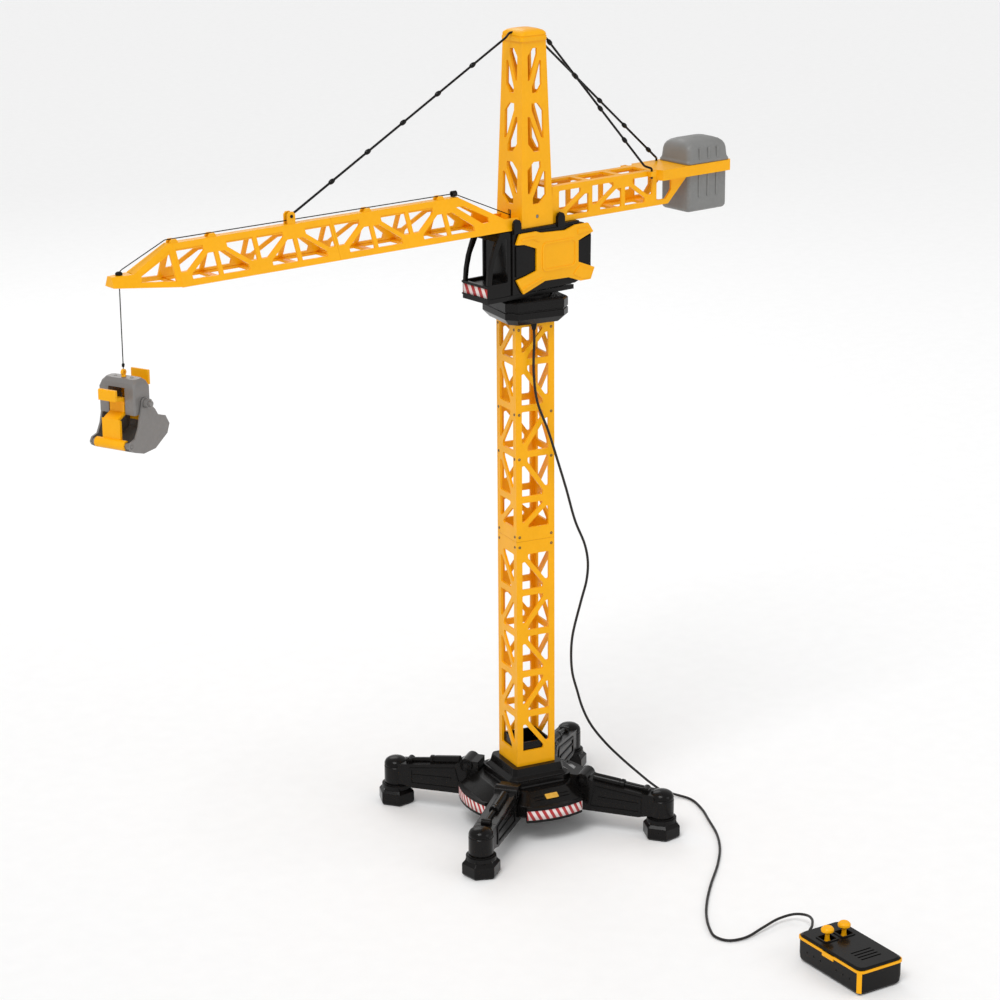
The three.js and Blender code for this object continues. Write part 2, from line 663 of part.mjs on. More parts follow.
// One side of the jib from its last node to the root, leaning inward to the top chord.
function jibSide() {
  const post = 2.6;
  const windows = [];
  for (let i = 0; i < 8; i += 1) {
    const x0 = JIB_NODE_X + (i * JIB_BAY) / 2 + post;
    const x1 = x0 + JIB_BAY / 2 - 2 * post;
    windows.push(...braceWindows(x0, x1, FRAME_BOTTOM_Z + CHORD, JIB_TOP_Z - CHORD, i % 2 === 1,
      LATTICE_BRACE_HALF, LATTICE_BLUNT));
  }
  const rootWindow = [[-110, 803], [-84, 785], [-78, 781], [-68, 781], [-68, 786.5], [-100, 803]];
  windows[14] = rootWindow;
  const outline = [[JIB_NODE_X, FRAME_BOTTOM_Z], [JIB_ROOT_X, FRAME_BOTTOM_Z], [JIB_ROOT_X, 781],
    [-44, 781], [-104, JIB_TOP_Z], [JIB_NODE_X, JIB_TOP_Z]];
  return warp(sidePlate(outline, 0, WALL, windows), (x, y, z) => [x, y - jibHalf(z), z]);
}

// The narrowing side beyond the last node, with one triangular window.
function jibTipSide() {
  const start = JIB_NODE_X + 2;
  const window = [[-500, 774.8], [-540, 778.2], [-538, 784.5], [-500, 806.5]];
  const outline = [[start, FRAME_BOTTOM_Z + 0.2], [start, JIB_TOP_Z], [-500, JIB_TOP_Z],
    [TIP_BLOCK_X, TIP_TOP_Z], [JIB_TIP_X, TIP_TOP_Z], [JIB_TIP_X, TIP_BOTTOM_Z]];
  return warp(sidePlate(outline, 0, WALL, [window]), (x, y, z) => [x, y - tipHalf(x, z), z]);
}

// A bar between the two tip sides, filling their whole width.
function tipFill(outline) {
  return warp(sidePlate(outline, -1, 1), (x, y, z) => [x, y * (tipHalf(x, z) - 0.3), z]);
}

function topLugs() {
  const lugs = [];
  const places = [JIB_NODE_X + 3, ...[0, 1, 2, 3].map((bay) => JIB_NODE_X + (bay + 0.5) * JIB_BAY)];
  for (const x of places) {
    const tall = Math.abs(x - TALL_LUG_X) < 1;
    const top = tall ? 827 : 817.5;
    const outline = [[x - 5, JIB_TOP_Z - 1], [x + 5, JIB_TOP_Z - 1], [x + 5, top - 3], [x + 2.5, top],
      [x - 2.5, top], [x - 5, top - 3]];
    const holes = tall ? [circlePoints(2.1, 12, x, STAY_HOOK_Z)] : [];
    const lug = sidePlate(outline, -4.6, -2.2, holes);
    lugs.push(lug, mirrored(lug));
  }
  return lugs;
}

function wholeJib() {
  const topChord = crossPlate([[-7.5, 805], [7.5, 805], [4.7, JIB_TOP_Z], [-4.7, JIB_TOP_Z]],
    JIB_NODE_X, -103);
  const floorWindows = [];
  for (let i = 0; i < 8; i += 1) {
    const x0 = JIB_NODE_X + (i * JIB_BAY) / 2 + 4;
    floorWindows.push(rectangle(x0, x0 + JIB_BAY / 2 - 8, -19, 19));
  }
  const bottom = prism(rectangle(JIB_NODE_X, JIB_ROOT_X, -22.4, 22.4),
    FRAME_BOTTOM_Z, FRAME_BOTTOM_Z + WALL, floorWindows);
  const rootWall = block(JIB_ROOT_X - WALL, JIB_ROOT_X, -21, 21, FRAME_BOTTOM_Z, 775);
  const tipTop = tipFill([[-494, 806], [-494, JIB_TOP_Z], [-500, JIB_TOP_Z], [TIP_BLOCK_X, TIP_TOP_Z],
    [TIP_BLOCK_X, 780]]);
  const tipBlock = tipFill([[TIP_BLOCK_X - 1, TIP_BOTTOM_Z], [TIP_BLOCK_X - 1, TIP_TOP_Z],
    [JIB_TIP_X, TIP_TOP_Z], [JIB_TIP_X, TIP_BOTTOM_Z]]);
  const side = jibSide();
  const tipSide = jibTipSide();
  const whole = join(side, mirrored(side), tipSide, mirrored(tipSide), topChord, bottom, rootWall,
    tipTop, tipBlock, ...topLugs());
  const stringHole = prism(circlePoints(3.1, 14, STRING_X, 0), TIP_BOTTOM_Z - 5, TIP_TOP_Z + 5);
  return cut(whole, stringHole);
}

const GUIDE_X = -106.5;
const RUN_Z = 817.3;

// The loop on the top chord that the hoist string runs through.
function rootGuide() {
  const outer = 3.6;
  const centre = JIB_TOP_Z + GAP + outer;
  return crossPlate(circlePoints(outer, 12, 0, centre), GUIDE_X - 3, GUIDE_X + 3,
    [circlePoints(2.3, 10, 0, centre)]);
}

// The bush in the tip that turns the hoist string down.
function tipGuide() {
  const bottom = TIP_BOTTOM_Z - 1;
  const flange = TIP_TOP_Z + GAP;
  return turned([[1.7, bottom], [2.7, bottom], [2.7, flange], [4.1, flange], [4.1, flange + 2],
    [2.6, flange + 3.4], [1.7, flange + 3], [1.7, bottom]], 14).translate(STRING_X, 0, 0);
}

const DROP_TOP_Z = 772;
const EYELET_TOP_Z = GRAB_TOP_Z + 8.6;

function hoistStringRun() {
  return wire([[-2.6, 0, 773.3], [-24, 0, 781.8], [GUIDE_X, 0, RUN_Z], [-501, 0, RUN_Z], [-556.5, 0, 792.5],
    [-559.3, 0, 790.2], [STRING_X, 0, 787], [STRING_X, 0, DROP_TOP_Z + GAP]], STRING_RADIUS);
}

function hoistStringDrop() {
  return wire([[STRING_X, 0, EYELET_TOP_Z + GAP], [STRING_X, 0, DROP_TOP_Z]], STRING_RADIUS);
}

// A tie cord: its straight run from one place to another carries beads at the given shares.
function stay(lead, from, to, tail, beadShares) {
  const direction = to.map((value, i) => value - from[i]);
  const beads = beadShares.map((share) => aimed(
    turned([[0, -4.5], [2.7, -2.2], [2.7, 2.2], [0, 4.5]], 6),
    from.map((value, i) => value + share * direction[i]), direction));
  return join(wire([...lead, from, to, ...tail], 1.4, 6), ...beads);
}

const EYE_RADIUS = 1.9;
const NEAR_EYE = [179, -25];
const FAR_EYE = [231, 25];
const HEAD_EYES = [[-1, 0, 996], [1, -9, 990], [1, 9, 990]];

function frontStay() {
  const line = stay([[-16, 0, 996], [-22, 0, 996]], [-27, 0, 991], [TALL_LUG_X + 9, 0, 826],
    [[TALL_LUG_X, 0, STAY_HOOK_Z]], [0.165, 0.333, 0.5, 0.667, 0.835]);
  return join(line, rod([TALL_LUG_X, -5.6, STAY_HOOK_Z], [TALL_LUG_X, 5.6, STAY_HOOK_Z], 1.6, 6));
}

function rearStay([eyeX, eyeY], beadShares) {
  const side = Math.sign(eyeY);
  return stay([[15, side * 9, 990], [21.5, side * 9, 990]], [26, side * 9.3, 986],
    [eyeX - 7, side * 19.5, 818.5], [[eyeX, eyeY, 815.5], [eyeX, eyeY, 803]], beadShares);
}

function buildJib() {
  const group = new THREE.Group();
  const whole = wholeJib();
  const halfGap = GAP / 2;
  const inner = block(JIB_SPLIT_X + halfGap, 0, -60, 60, 700, 900);
  const outer = block(-700, JIB_SPLIT_X - halfGap, -60, 60, 700, 900);
  group.add(makeMesh('jib_inner', keep(whole, inner), YELLOW));
  group.add(makeMesh('jib_outer', keep(whole, outer), YELLOW));
  group.add(makeMesh('string_guide_root', rootGuide(), BLACK));
  group.add(makeMesh('string_guide_tip', tipGuide(), BLACK));
  group.add(makeMesh('hoist_string_run', hoistStringRun(), DARK_CORD));
  group.add(makeMesh('hoist_string_drop', hoistStringDrop(), DARK_CORD));
  group.add(makeMesh('front_stay', frontStay(), BLACK));
  group.add(makeMesh('rear_stay_left', rearStay(NEAR_EYE, [0.03, 0.29, 0.54, 0.79]), BLACK));
  group.add(makeMesh('rear_stay_right', rearStay(FAR_EYE, [0.31, 0.52, 0.73, 0.94]), BLACK));
  return group;
}

// ---------------------------------------------------------------- counter-jib

function counterSide() {
  const low = FRAME_BOTTOM_Z + CHORD;
  const high = COUNTER_TOP_Z - CHORD;
  const posts = [32, 84, 136, 186];
  const windows = [];
  for (let i = 0; i < 3; i += 1) {
    windows.push(...braceWindows(posts[i] + 3, posts[i + 1] - 3, low, high, i === 2, LATTICE_BRACE_HALF,
      LATTICE_BLUNT));
  }
  windows.push([[190, low], [205, low], [214, 785], [214, high], [190, high]]);
  const endX = WEIGHT_START_X - GAP;
  const outline = [[-JIB_ROOT_X, FRAME_BOTTOM_Z], [COUNTER_END_X, FRAME_BOTTOM_Z], [endX, 797],
    [endX, COUNTER_TOP_Z], [-JIB_ROOT_X, COUNTER_TOP_Z]];
  const plate = sidePlate(outline, -COUNTER_HALF, -COUNTER_HALF + WALL, windows);
  const [lugX, lugY] = NEAR_EYE;
  const lug = block(lugX - 4, lugX + 4, lugY - 3.5, -COUNTER_HALF + 1, COUNTER_TOP_Z - 6, COUNTER_TOP_Z);
  const lugHole = prism(circlePoints(EYE_RADIUS, 10, lugX, lugY), 790, 830);
  return cut(join(plate, lug), lugHole);
}

// The lattice arm behind the head, ending in the ring that carries the counterweight.
function counterJib() {
  const side = counterSide();
  const half = COUNTER_HALF - 1;
  const slots = [[34, 80], [88, 132], [140, 182]].map(([x0, x1]) => rectangle(x0, x1, -13, 13));
  const top = prism(rectangle(-JIB_ROOT_X, WEIGHT_START_X - GAP, -half, half),
    COUNTER_TOP_Z - WALL, COUNTER_TOP_Z, slots);
  const bottom = prism(rectangle(-JIB_ROOT_X, COUNTER_END_X - 2, -half, half), FRAME_BOTTOM_Z,
    FRAME_BOTTOM_Z + WALL, slots);
  const endX = WEIGHT_START_X - GAP;
  const rearWall = block(endX - WALL, endX, -half, half, 798, COUNTER_TOP_Z);
  const boxHole = WEIGHT_HALF + GAP;
  const openings = [rectangle(endX, WEIGHT_END_X + GAP, -boxHole, boxHole)];
  const eyes = [1, -1].map((side_) => circlePoints(EYE_RADIUS, 10, FAR_EYE[0], side_ * FAR_EYE[1]));
  const ringOutline = [[RING_START_X, -COUNTER_HALF], [RING_START_X + 4, -RING_HALF],
    [RING_END_X - 4, -RING_HALF], [RING_END_X, -RING_HALF + 4],
    [RING_END_X, RING_HALF - 4], [RING_END_X - 4, RING_HALF],
    [RING_START_X + 4, RING_HALF], [RING_START_X, COUNTER_HALF]];
  const hollow = rectangle(RING_START_X - 5, endX - WALL, -half, half);
  const ring = cut(prism(ringOutline, RING_BOTTOM_Z, COUNTER_TOP_Z, [...openings, ...eyes]),
    prism(hollow, RING_BOTTOM_Z - 1, COUNTER_TOP_Z - WALL));
  return join(side, mirrored(side), top, bottom, rearWall, ring);
}

// A box outline with shallow upright grooves on its two long sides.
function grooved(x0, x1, half, depth) {
  const near = [];
  for (let i = 1; i <= 3; i += 1) {
    const x = x0 + ((x1 - x0) * i) / 4;
    near.push([x - 5, -half], [x - 4, -half + depth], [x + 4, -half + depth], [x + 5, -half]);
  }
  const far = near.map(([x, y]) => [x, -y]).reverse();
  return [[x0, -half + 2], [x0 + 2, -half], ...near, [x1 - 2, -half], [x1, -half + 2],
    [x1, half - 2], [x1 - 2, half], ...far, [x0 + 2, half], [x0, half - 2]];
}

const WEIGHT_BOTTOM_Z = 752;
const LID_Z = COUNTER_TOP_Z + GAP;

function counterweightBox() {
  const grooveDepth = 1.2;
  const body = prism(grooved(WEIGHT_START_X, WEIGHT_END_X, WEIGHT_HALF, grooveDepth),
    WEIGHT_BOTTOM_Z, COUNTER_TOP_Z);
  const wall = 3.6;
  return cut(body, block(WEIGHT_START_X + wall, WEIGHT_END_X - wall,
    -WEIGHT_HALF + wall, WEIGHT_HALF - wall, WEIGHT_BOTTOM_Z + wall, COUNTER_TOP_Z + 1));
}

function counterweightLid() {
  const ring = (inset, chamfer, z) => {
    const points = chamferedSquare(1, chamfer / 30);
    const middle = (WEIGHT_START_X + WEIGHT_END_X) / 2;
    const halfLength = (WEIGHT_END_X - WEIGHT_START_X) / 2 + 2.5 - inset;
    return points.map(([x, y]) => [middle + x * halfLength, y * (WEIGHT_HALF + 2.5 - inset), z]);
  };
  const outside = loft([ring(0, 3, LID_Z), ring(0, 3, LID_Z + 6), ring(3, 4, LID_Z + 6.6),
    ring(3.4, 5, 830), ring(6, 7, 837), ring(11, 9, 841), ring(17, 11, 842)]);
  return cut(outside, loft([ring(6, 5, LID_Z - 1), ring(7, 6, 830), ring(14, 9, 838)]));
}

function buildCounterJib() {
  const group = new THREE.Group();
  group.add(makeMesh('counter_jib', counterJib(), YELLOW));
  group.add(makeMesh('counterweight_box', counterweightBox(), GREY));
  group.add(makeMesh('counterweight_lid', counterweightLid(), GREY));
  const ballast = block(WEIGHT_START_X + 4.5, WEIGHT_END_X - 4.5, -21, 21, WEIGHT_BOTTOM_Z + 3.9, 770);
  group.add(makeMesh('counterweight_ballast', ballast, IRON));
  return group;
}

// ---------------------------------------------------------------- grab

// The grab is modelled round the hoist string, with z = 0 at the top of its housing.
const LATCH_PIVOT = [-11, -26];
const BUCKET_PIVOT = [2, -26.7];
const BAR = [-26, -69];
const SLEEVE_INNER = 3.9;
const SLEEVE_OUTER = 5.7;
const BUCKET_HALF = 27;
const BUCKET_WALL = 2.5;
const REAR_LATCH_RISE = 6;

function grabEyelet() {
  const centre = 4.9;
  const loop = sidePlate(circlePoints(3.7, 12, 0, centre), -1.3, 1.3, [circlePoints(1.7, 8, 0, centre)]);
  const collar = turned([[0, GAP], [3, GAP], [2.4, 2], [0, 2]], 8);
  const stem = turned([[0, -12.6], [3.4, -12.6], [3.4, -8.7], [1.9, -8.7], [1.9, 1], [0, 1]], 8);
  return join(loop, collar, stem);
}

function grabHousing() {
  const section = (x, y, chamfer, z) => {
    const ring = [[-x, -y + chamfer], [-x + chamfer, -y], [x - chamfer, -y], [x, -y + chamfer],
      [x, y - chamfer], [x - chamfer, y], [-x + chamfer, y], [-x, y - chamfer]];
    return lifted(ring, z);
  };
  const body = loft([section(14, 24, 1.5, -38), section(14, 24, 1.5, -10), section(11.5, 22.8, 2.5, -4),
    section(7, 20, 3, 0)]);
  const channel = block(-20, 20, -11, 11, -40, -8.4);
  const stemHole = turned([[0, -12], [2.3, -12], [2.3, 2], [0, 2]], 12);
  const pivotHole = (x, z, radius, reach) => rod([x, -reach, z], [x, reach, z], radius, 12);
  const [frontX, frontZ] = LATCH_PIVOT;
  const sideHoles = [-1, 1].map((side) => rod([BUCKET_PIVOT[0], side * 15, BUCKET_PIVOT[1]],
    [BUCKET_PIVOT[0], side * 30, BUCKET_PIVOT[1]], 2.5, 12));
  return cut(body, channel, stemHole, pivotHole(frontX, frontZ, 2.1, 14),
    pivotHole(-frontX, frontZ + REAR_LATCH_RISE, 2.1, 14), ...sideHoles);
}

// A latch lever: a thumb tab above, a neck on its pivot, and a blade that reaches down.
function latch(tabTop, bladeEnd, withSleeve) {
  const tab = sidePlate([[-31, tabTop - 1], [-30, tabTop], [-27.5, tabTop], [-27.5, -20], [-31, -20]],
    -11.5, 11.5);
  const neck = sidePlate([[-30, -20], [-28, -16.5], [-8.5, -20.5], [-8.5, -37], [-23, -43], [-25.8, -43],
    [-25.8, -41], [-14, -35.5], [-14, -23.5]], -9.8, 9.8);
  const blade = sidePlate([[-26, -41], [-22.6, -43], [-22.6, bladeEnd], [-26, bladeEnd]], -12, 12);
  const [pivotX, pivotZ] = LATCH_PIVOT;
  const pins = rod([pivotX, -13.6, pivotZ], [pivotX, 13.6, pivotZ], 1.8, 10);
  if (!withSleeve) return join(tab, neck, blade, pins);
  const from = THREE.MathUtils.degToRad(62);
  const sweep = THREE.MathUtils.degToRad(176);
  const steps = 9;
  const arc = (radius, reverse) => Array.from({ length: steps }, (_, i) => {
    const angle = from + (sweep * (reverse ? steps - 1 - i : i)) / (steps - 1);
    return [BAR[0] + radius * Math.cos(angle), BAR[1] + radius * Math.sin(angle)];
  });
  const sleeve = sidePlate([...arc(SLEEVE_OUTER, false), ...arc(SLEEVE_INNER, true)], -20, 20);
  return join(tab, neck, blade, pins, sleeve);
}

function bucketSideOutline() {
  const boss = Array.from({ length: 6 }, (_, i) => {
    const angle = THREE.MathUtils.degToRad(-10 + i * 40);
    return [BUCKET_PIVOT[0] + 6.6 * Math.cos(angle), BUCKET_PIVOT[1] + 6.6 * Math.sin(angle)];
  });
  return [...boss, [-8, -38], [-12, -52], [-18, -62], [-27.5, -64.3], [-30.5, -69], [-28, -73.2],
    [-21, -77], [-5, -82], [16, -81], [38, -69], [42.4, -59], [36, -48.5], [23, -44.4], [18, -37]];
}

function bucketShell() {
  const inner = BUCKET_HALF - BUCKET_WALL;
  const holes = [circlePoints(2.6, 12, ...BUCKET_PIVOT), circlePoints(2.5, 12, ...BAR)];
  const side = sidePlate(bucketSideOutline(), -BUCKET_HALF, -inner, holes);
  const shell = sidePlate([[-21, -77], [-5, -82], [16, -81], [38, -69], [42.4, -59], [36, -48.5],
    [34, -50], [39.5, -59.3], [36.2, -67.2], [15.2, -78.5], [-5, -79.4], [-20, -74.8]],
  -inner - 1, inner + 1);
  return join(side, mirrored(side), shell);
}

function bucketBar() {
  const inner = BUCKET_HALF - BUCKET_WALL - GAP;
  const [x, z] = BAR;
  return join(rod([x, -inner, z], [x, inner, z], 3.5, 14),
    rod([x, -BUCKET_HALF, z], [x, BUCKET_HALF, z], 2.2, 10));
}

function bucketPin(side) {
  const place = (y) => [BUCKET_PIVOT[0], side * y, BUCKET_PIVOT[1]];
  return join(rod(place(15.5), place(29), 2.2, 12), rod(place(BUCKET_HALF + GAP), place(32), 5.4, 16),
    rod(place(31), place(35), 3.2, 14));
}

function buildGrab() {
  const group = new THREE.Group();
  group.position.set(STRING_X, 0, GRAB_TOP_Z);
  group.rotation.z = GRAB_TURN;
  group.add(makeMesh('grab_eyelet', grabEyelet(), YELLOW));
  group.add(makeMesh('grab_housing', grabHousing(), SILVER));
  group.add(makeMesh('latch_front', latch(-8, -64.5, true), YELLOW));
  const rear = makeMesh('latch_rear', latch(-3.5, -60, false), YELLOW);
  rear.rotation.z = Math.PI;
  rear.position.z = REAR_LATCH_RISE;
  group.add(rear);
  group.add(makeMesh('bucket_shell', bucketShell(), SILVER));
  group.add(makeMesh('bucket_bar', bucketBar(), SILVER));
  group.add(makeMesh('bucket_pin_left', bucketPin(-1), SILVER));
  group.add(makeMesh('bucket_pin_right', bucketPin(1), SILVER));
  return group;
}

// ---------------------------------------------------------------- handset

const STICK_X = 12;
const STICK_Y = 26;
const STICK_PIVOT_Z = 27.5;
const POCKET_HALF = 7.6;
const CORD_Z = 20;

function handsetOutline(halfWidth, halfLength, corner) {
  return [[-halfWidth, -halfLength + corner], [-halfWidth + corner * 0.3, -halfLength + corner * 0.3],
    [-halfWidth + corner, -halfLength], [halfWidth - corner, -halfLength],
    [halfWidth - corner * 0.3, -halfLength + corner * 0.3], [halfWidth, -halfLength + corner],
    [halfWidth, halfLength - corner], [halfWidth - corner * 0.3, halfLength - corner * 0.3],
    [halfWidth - corner, halfLength], [-halfWidth + corner, halfLength],
    [-halfWidth + corner * 0.3, halfLength - corner * 0.3], [-halfWidth, halfLength - corner]];
}

const handsetRing = (inset, z, corner = 7) => lifted(
  handsetOutline(HANDSET_HALF_WIDTH - inset, HANDSET_HALF_LENGTH - inset, corner), z);

const DOOR = { x: 20, front: -44, back: 2 };

function handsetBottom() {
  const body = loft([handsetRing(3, 0), handsetRing(0.6, 3), handsetRing(0, 10), handsetRing(0, 28)]);
  const inside = loft([handsetRing(3.4, 2.6), handsetRing(2.6, 10), handsetRing(2.6, 29)]);
  const doorway = block(-DOOR.x, DOOR.x, DOOR.front, DOOR.back, -1, 4);
  const gland = rod([0, HANDSET_HALF_LENGTH - 8, CORD_Z], [0, HANDSET_HALF_LENGTH + 4, CORD_Z], 3.1, 12);
  const posts = [-STICK_X, STICK_X].map((x) => turned([[0, 2], [4, 2], [4, 22.4], [0, 22.4]], 10)
    .translate(x, STICK_Y, 0));
  return join(cut(body, inside, doorway, gland), ...posts);
}

function handsetDoor() {
  return block(-DOOR.x + GAP, DOOR.x - GAP, DOOR.front + GAP, DOOR.back - GAP, 0, 2.4);
}

function handsetTrim() {
  const inner = handsetOutline(HANDSET_HALF_WIDTH - 4, HANDSET_HALF_LENGTH - 4, 5);
  const outer = handsetOutline(HANDSET_HALF_WIDTH + 0.4, HANDSET_HALF_LENGTH + 0.4, 7);
  return prism(outer, 28 + GAP, 30, [inner]);
}

function handsetTop() {
  const plate = loft([handsetRing(0.2, 30 + GAP), handsetRing(0.2, 31.4), handsetRing(2.4, HANDSET_TOP_Z)]);
  const lip = cut(loft([handsetRing(4.4, 26, 5), handsetRing(4.4, 31, 5)]),
    loft([handsetRing(6.4, 25, 5), handsetRing(6.4, 32, 5)]));
  const pockets = [-STICK_X, STICK_X].map((x) => block(x - POCKET_HALF, x + POCKET_HALF,
    STICK_Y - POCKET_HALF, STICK_Y + POCKET_HALF, 20, 40));
  const slots = [0, 1, 2, 3].map((i) => block(-14, 14, -38 + i * 6, -35.8 + i * 6, 31.2, 40));
  return cut(join(plate, lip), ...pockets, ...slots);
}

function circuitBoard() {
  const board = block(-22, 22, 8, 48, 9, 10.6);
  const holes = [-STICK_X, STICK_X].map((x) => prism(circlePoints(4.4, 12, x, STICK_Y), 8, 12));
  const props = [[-18, 12], [18, 12], [-18, 44], [18, 44]].map(([x, y]) => turned(
    [[0, 2.9], [1.5, 2.9], [1.5, 9.5], [0, 9.5]], 8).translate(x, y, 0));
  return join(cut(board, ...holes), ...props);
}

// A thumb stick about its own ball, standing in one pocket of the lid.
function stick() {
  return turned([[0, 22.8], [3.3, 24.2], [4.7, 27.5], [3.3, 30.8], [2.6, 39.4], [7.4, 42.2], [7.4, 44.6],
    [5.2, 47.2], [0, 48]], 12);
}

function handsetGland() {
  const profile = [[0, -4.5], [2.8, -4.5], [2.8, GAP], [4.4, GAP], [4.4, 2], [3.4, 2.6],
    [2.5, 10], [0, 10]];
  return turned(profile, 12).rotateX(-Math.PI / 2).translate(0, HANDSET_HALF_LENGTH, CORD_Z);
}

function buildHandset() {
  const group = new THREE.Group();
  group.position.set(HANDSET_X, HANDSET_Y, 0);
  group.rotation.z = HANDSET_TURN;
  group.add(makeMesh('handset_bottom', handsetBottom(), BLACK));
  group.add(makeMesh('handset_battery_door', handsetDoor(), BLACK));
  group.add(makeMesh('handset_trim', handsetTrim(), YELLOW));
  group.add(makeMesh('handset_top', handsetTop(), BLACK));
  group.add(makeMesh('circuit_board', circuitBoard(), BOARD_GREEN));
  group.add(makeMesh('handset_gland', handsetGland(), BLACK));
  [['stick_left', -STICK_X], ['stick_right', STICK_X]].forEach(([name, x]) => {
    const mesh = makeMesh(name, stick(), YELLOW);
    mesh.position.set(x, STICK_Y, 0);
    group.add(mesh);
  });
  return group;
}

// ---------------------------------------------------------------- control cord

// The cord falls from the turntable beside the mast, in the mast's own turned frame.
const CORD_DOWN_MAST = [[CORD_EXIT_X, CORD_EXIT_Y, CORD_EXIT_Z - GAP], [-4.2, -32.4, 632], [-6, -34, 596],
  [-2.4, -36, 558], [12.4, -36, 519], [23.2, -36, 486], [37, -36, 442], [49.4, -36, 399], [63, -36, 366],
  [67.2, -36, 343], [65.5, -36, 320], [57.9, -36, 294], [46, -36, 250], [44.1, -36, 224], [46, -36, 200],
  [52.6, -36, 176], [60, -36, 152], [72, -36, 127], [93, -36, 98.4], [118, -35, 71], [141, -34, 48],
  [162, -32, 28], [181, -30, 12.5], [198, -29.5, 4.6]];

// Then it lies on the floor and climbs into the handset.
const CORD_ON_FLOOR = [[196, -92, 2.3], [187, -123, 2.1], [170, -155, 2.1], [148, -194, 2.1],
  [122, -227.6, 2.1], [86.2, -262, 2.1], [41.2, -298.5, 2.1], [6.2, -329.8, 2.1], [-19.6, -356.8, 2.1], [-39.1, -382.9, 2.1],
  [-49.5, -404, 2.1], [-45, -421, 2.1], [-25, -429, 2.6], [5, -427, 5.4], [33, -424, 7], [52, -430, 9],
  [55, -446, 13], [45, -466, 18], [29, -482, 20]];

function controlCord() {
  const cos = Math.cos(MAST_TURN);
  const sin = Math.sin(MAST_TURN);
  const down = CORD_DOWN_MAST.map(([x, y, z]) => [x * cos - y * sin, x * sin + y * cos, z]);
  const reach = HANDSET_HALF_LENGTH + 10 + GAP;
  const end = (distance) => [HANDSET_X - distance * Math.sin(HANDSET_TURN),
    HANDSET_Y + distance * Math.cos(HANDSET_TURN), CORD_Z];
  return tube([...down, ...CORD_ON_FLOOR, end(reach + 6), end(reach)], CORD_RADIUS, 80);
}

// ---------------------------------------------------------------- the whole crane

const crane = new THREE.Group();
crane.position.set(SLEW_X, SLEW_Y, 0);
const standing = new THREE.Group();
standing.rotation.z = MAST_TURN;
standing.add(buildBase(), buildMast(), buildTurntable());
crane.add(standing, buildCab(), buildHead(), buildJib(), buildCounterJib(), buildGrab(), buildHandset());
crane.add(makeMesh('control_cord', controlCord(), DARK_CORD));

export default crane;
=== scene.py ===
"""Looks of the toy tower crane: fine bevelled bodies, mouldings, decals and materials on the CAD frame."""

import json
import math

import bmesh
import bpy
from mathutils import Matrix, Vector


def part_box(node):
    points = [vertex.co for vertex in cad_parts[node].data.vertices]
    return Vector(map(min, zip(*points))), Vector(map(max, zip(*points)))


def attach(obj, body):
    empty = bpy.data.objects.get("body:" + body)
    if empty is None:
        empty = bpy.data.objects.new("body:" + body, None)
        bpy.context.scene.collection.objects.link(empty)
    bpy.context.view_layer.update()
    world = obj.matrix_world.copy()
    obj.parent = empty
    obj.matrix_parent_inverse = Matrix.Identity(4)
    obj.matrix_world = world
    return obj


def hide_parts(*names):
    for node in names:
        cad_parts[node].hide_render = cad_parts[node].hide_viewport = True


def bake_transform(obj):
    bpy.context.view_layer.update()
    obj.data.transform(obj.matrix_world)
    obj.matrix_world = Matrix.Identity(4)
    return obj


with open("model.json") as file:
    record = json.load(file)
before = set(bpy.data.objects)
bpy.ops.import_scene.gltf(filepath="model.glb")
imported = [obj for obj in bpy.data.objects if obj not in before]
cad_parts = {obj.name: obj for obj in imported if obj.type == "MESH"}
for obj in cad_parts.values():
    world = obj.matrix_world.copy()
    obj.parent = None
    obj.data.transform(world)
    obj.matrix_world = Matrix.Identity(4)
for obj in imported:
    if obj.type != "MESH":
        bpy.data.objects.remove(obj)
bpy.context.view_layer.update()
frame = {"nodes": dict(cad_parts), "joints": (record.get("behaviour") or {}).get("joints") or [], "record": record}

MM = 0.001
JOINTS = {joint["name"]: joint for joint in frame["joints"]}

# ---------------------------------------------------------------- places

MAST_TURN = math.radians(-12.5)
GRAB_TURN = math.radians(21)
HANDSET_TURN = math.radians(-6.6)


def place(x, y, z, turn=0.0):
    return Matrix.Translation((x, y, z)) @ Matrix.Rotation(turn, 4, "Z")


slew = JOINTS["slew"]["pos_m"]
string = JOINTS["grab_spin"]["pos_m"]
handset_low, handset_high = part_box("handset_bottom")
handset_middle = (handset_low + handset_high) / 2

SLEWING = place(slew[0], slew[1], 0)
STANDING = place(slew[0], slew[1], 0, MAST_TURN)
GRAB = place(string[0], string[1], string[2], GRAB_TURN)
HANDSET = place(handset_middle.x, handset_middle.y, 0, HANDSET_TURN)

# ---------------------------------------------------------------- camera

CAMERA_PLACE = (-1.9375, -2.3375, 1.455)
CAMERA_YAW = math.radians(38.548)
CAMERA_PITCH = math.radians(17.359)
CAMERA_ROLL = math.radians(-0.383)
CAMERA_LENS_MM = 101.5


def add_camera():
    ahead = Vector((math.sin(CAMERA_YAW) * math.cos(CAMERA_PITCH),
                    math.cos(CAMERA_YAW) * math.cos(CAMERA_PITCH), -math.sin(CAMERA_PITCH)))
    level = Vector((math.cos(CAMERA_YAW), -math.sin(CAMERA_YAW), 0))
    upright = level.cross(ahead)
    right = level * math.cos(CAMERA_ROLL) + upright * math.sin(CAMERA_ROLL)
    up = right.cross(ahead)
    data = bpy.data.cameras.new("camera")
    data.lens = CAMERA_LENS_MM
    data.sensor_width = 36
    camera = bpy.data.objects.new("camera", data)
    turn = Matrix((right, up, -ahead)).transposed().to_4x4()
    camera.matrix_world = Matrix.Translation(CAMERA_PLACE) @ turn
    bpy.context.scene.collection.objects.link(camera)
    bpy.context.scene.camera = camera


add_camera()

# ---------------------------------------------------------------- the control cord

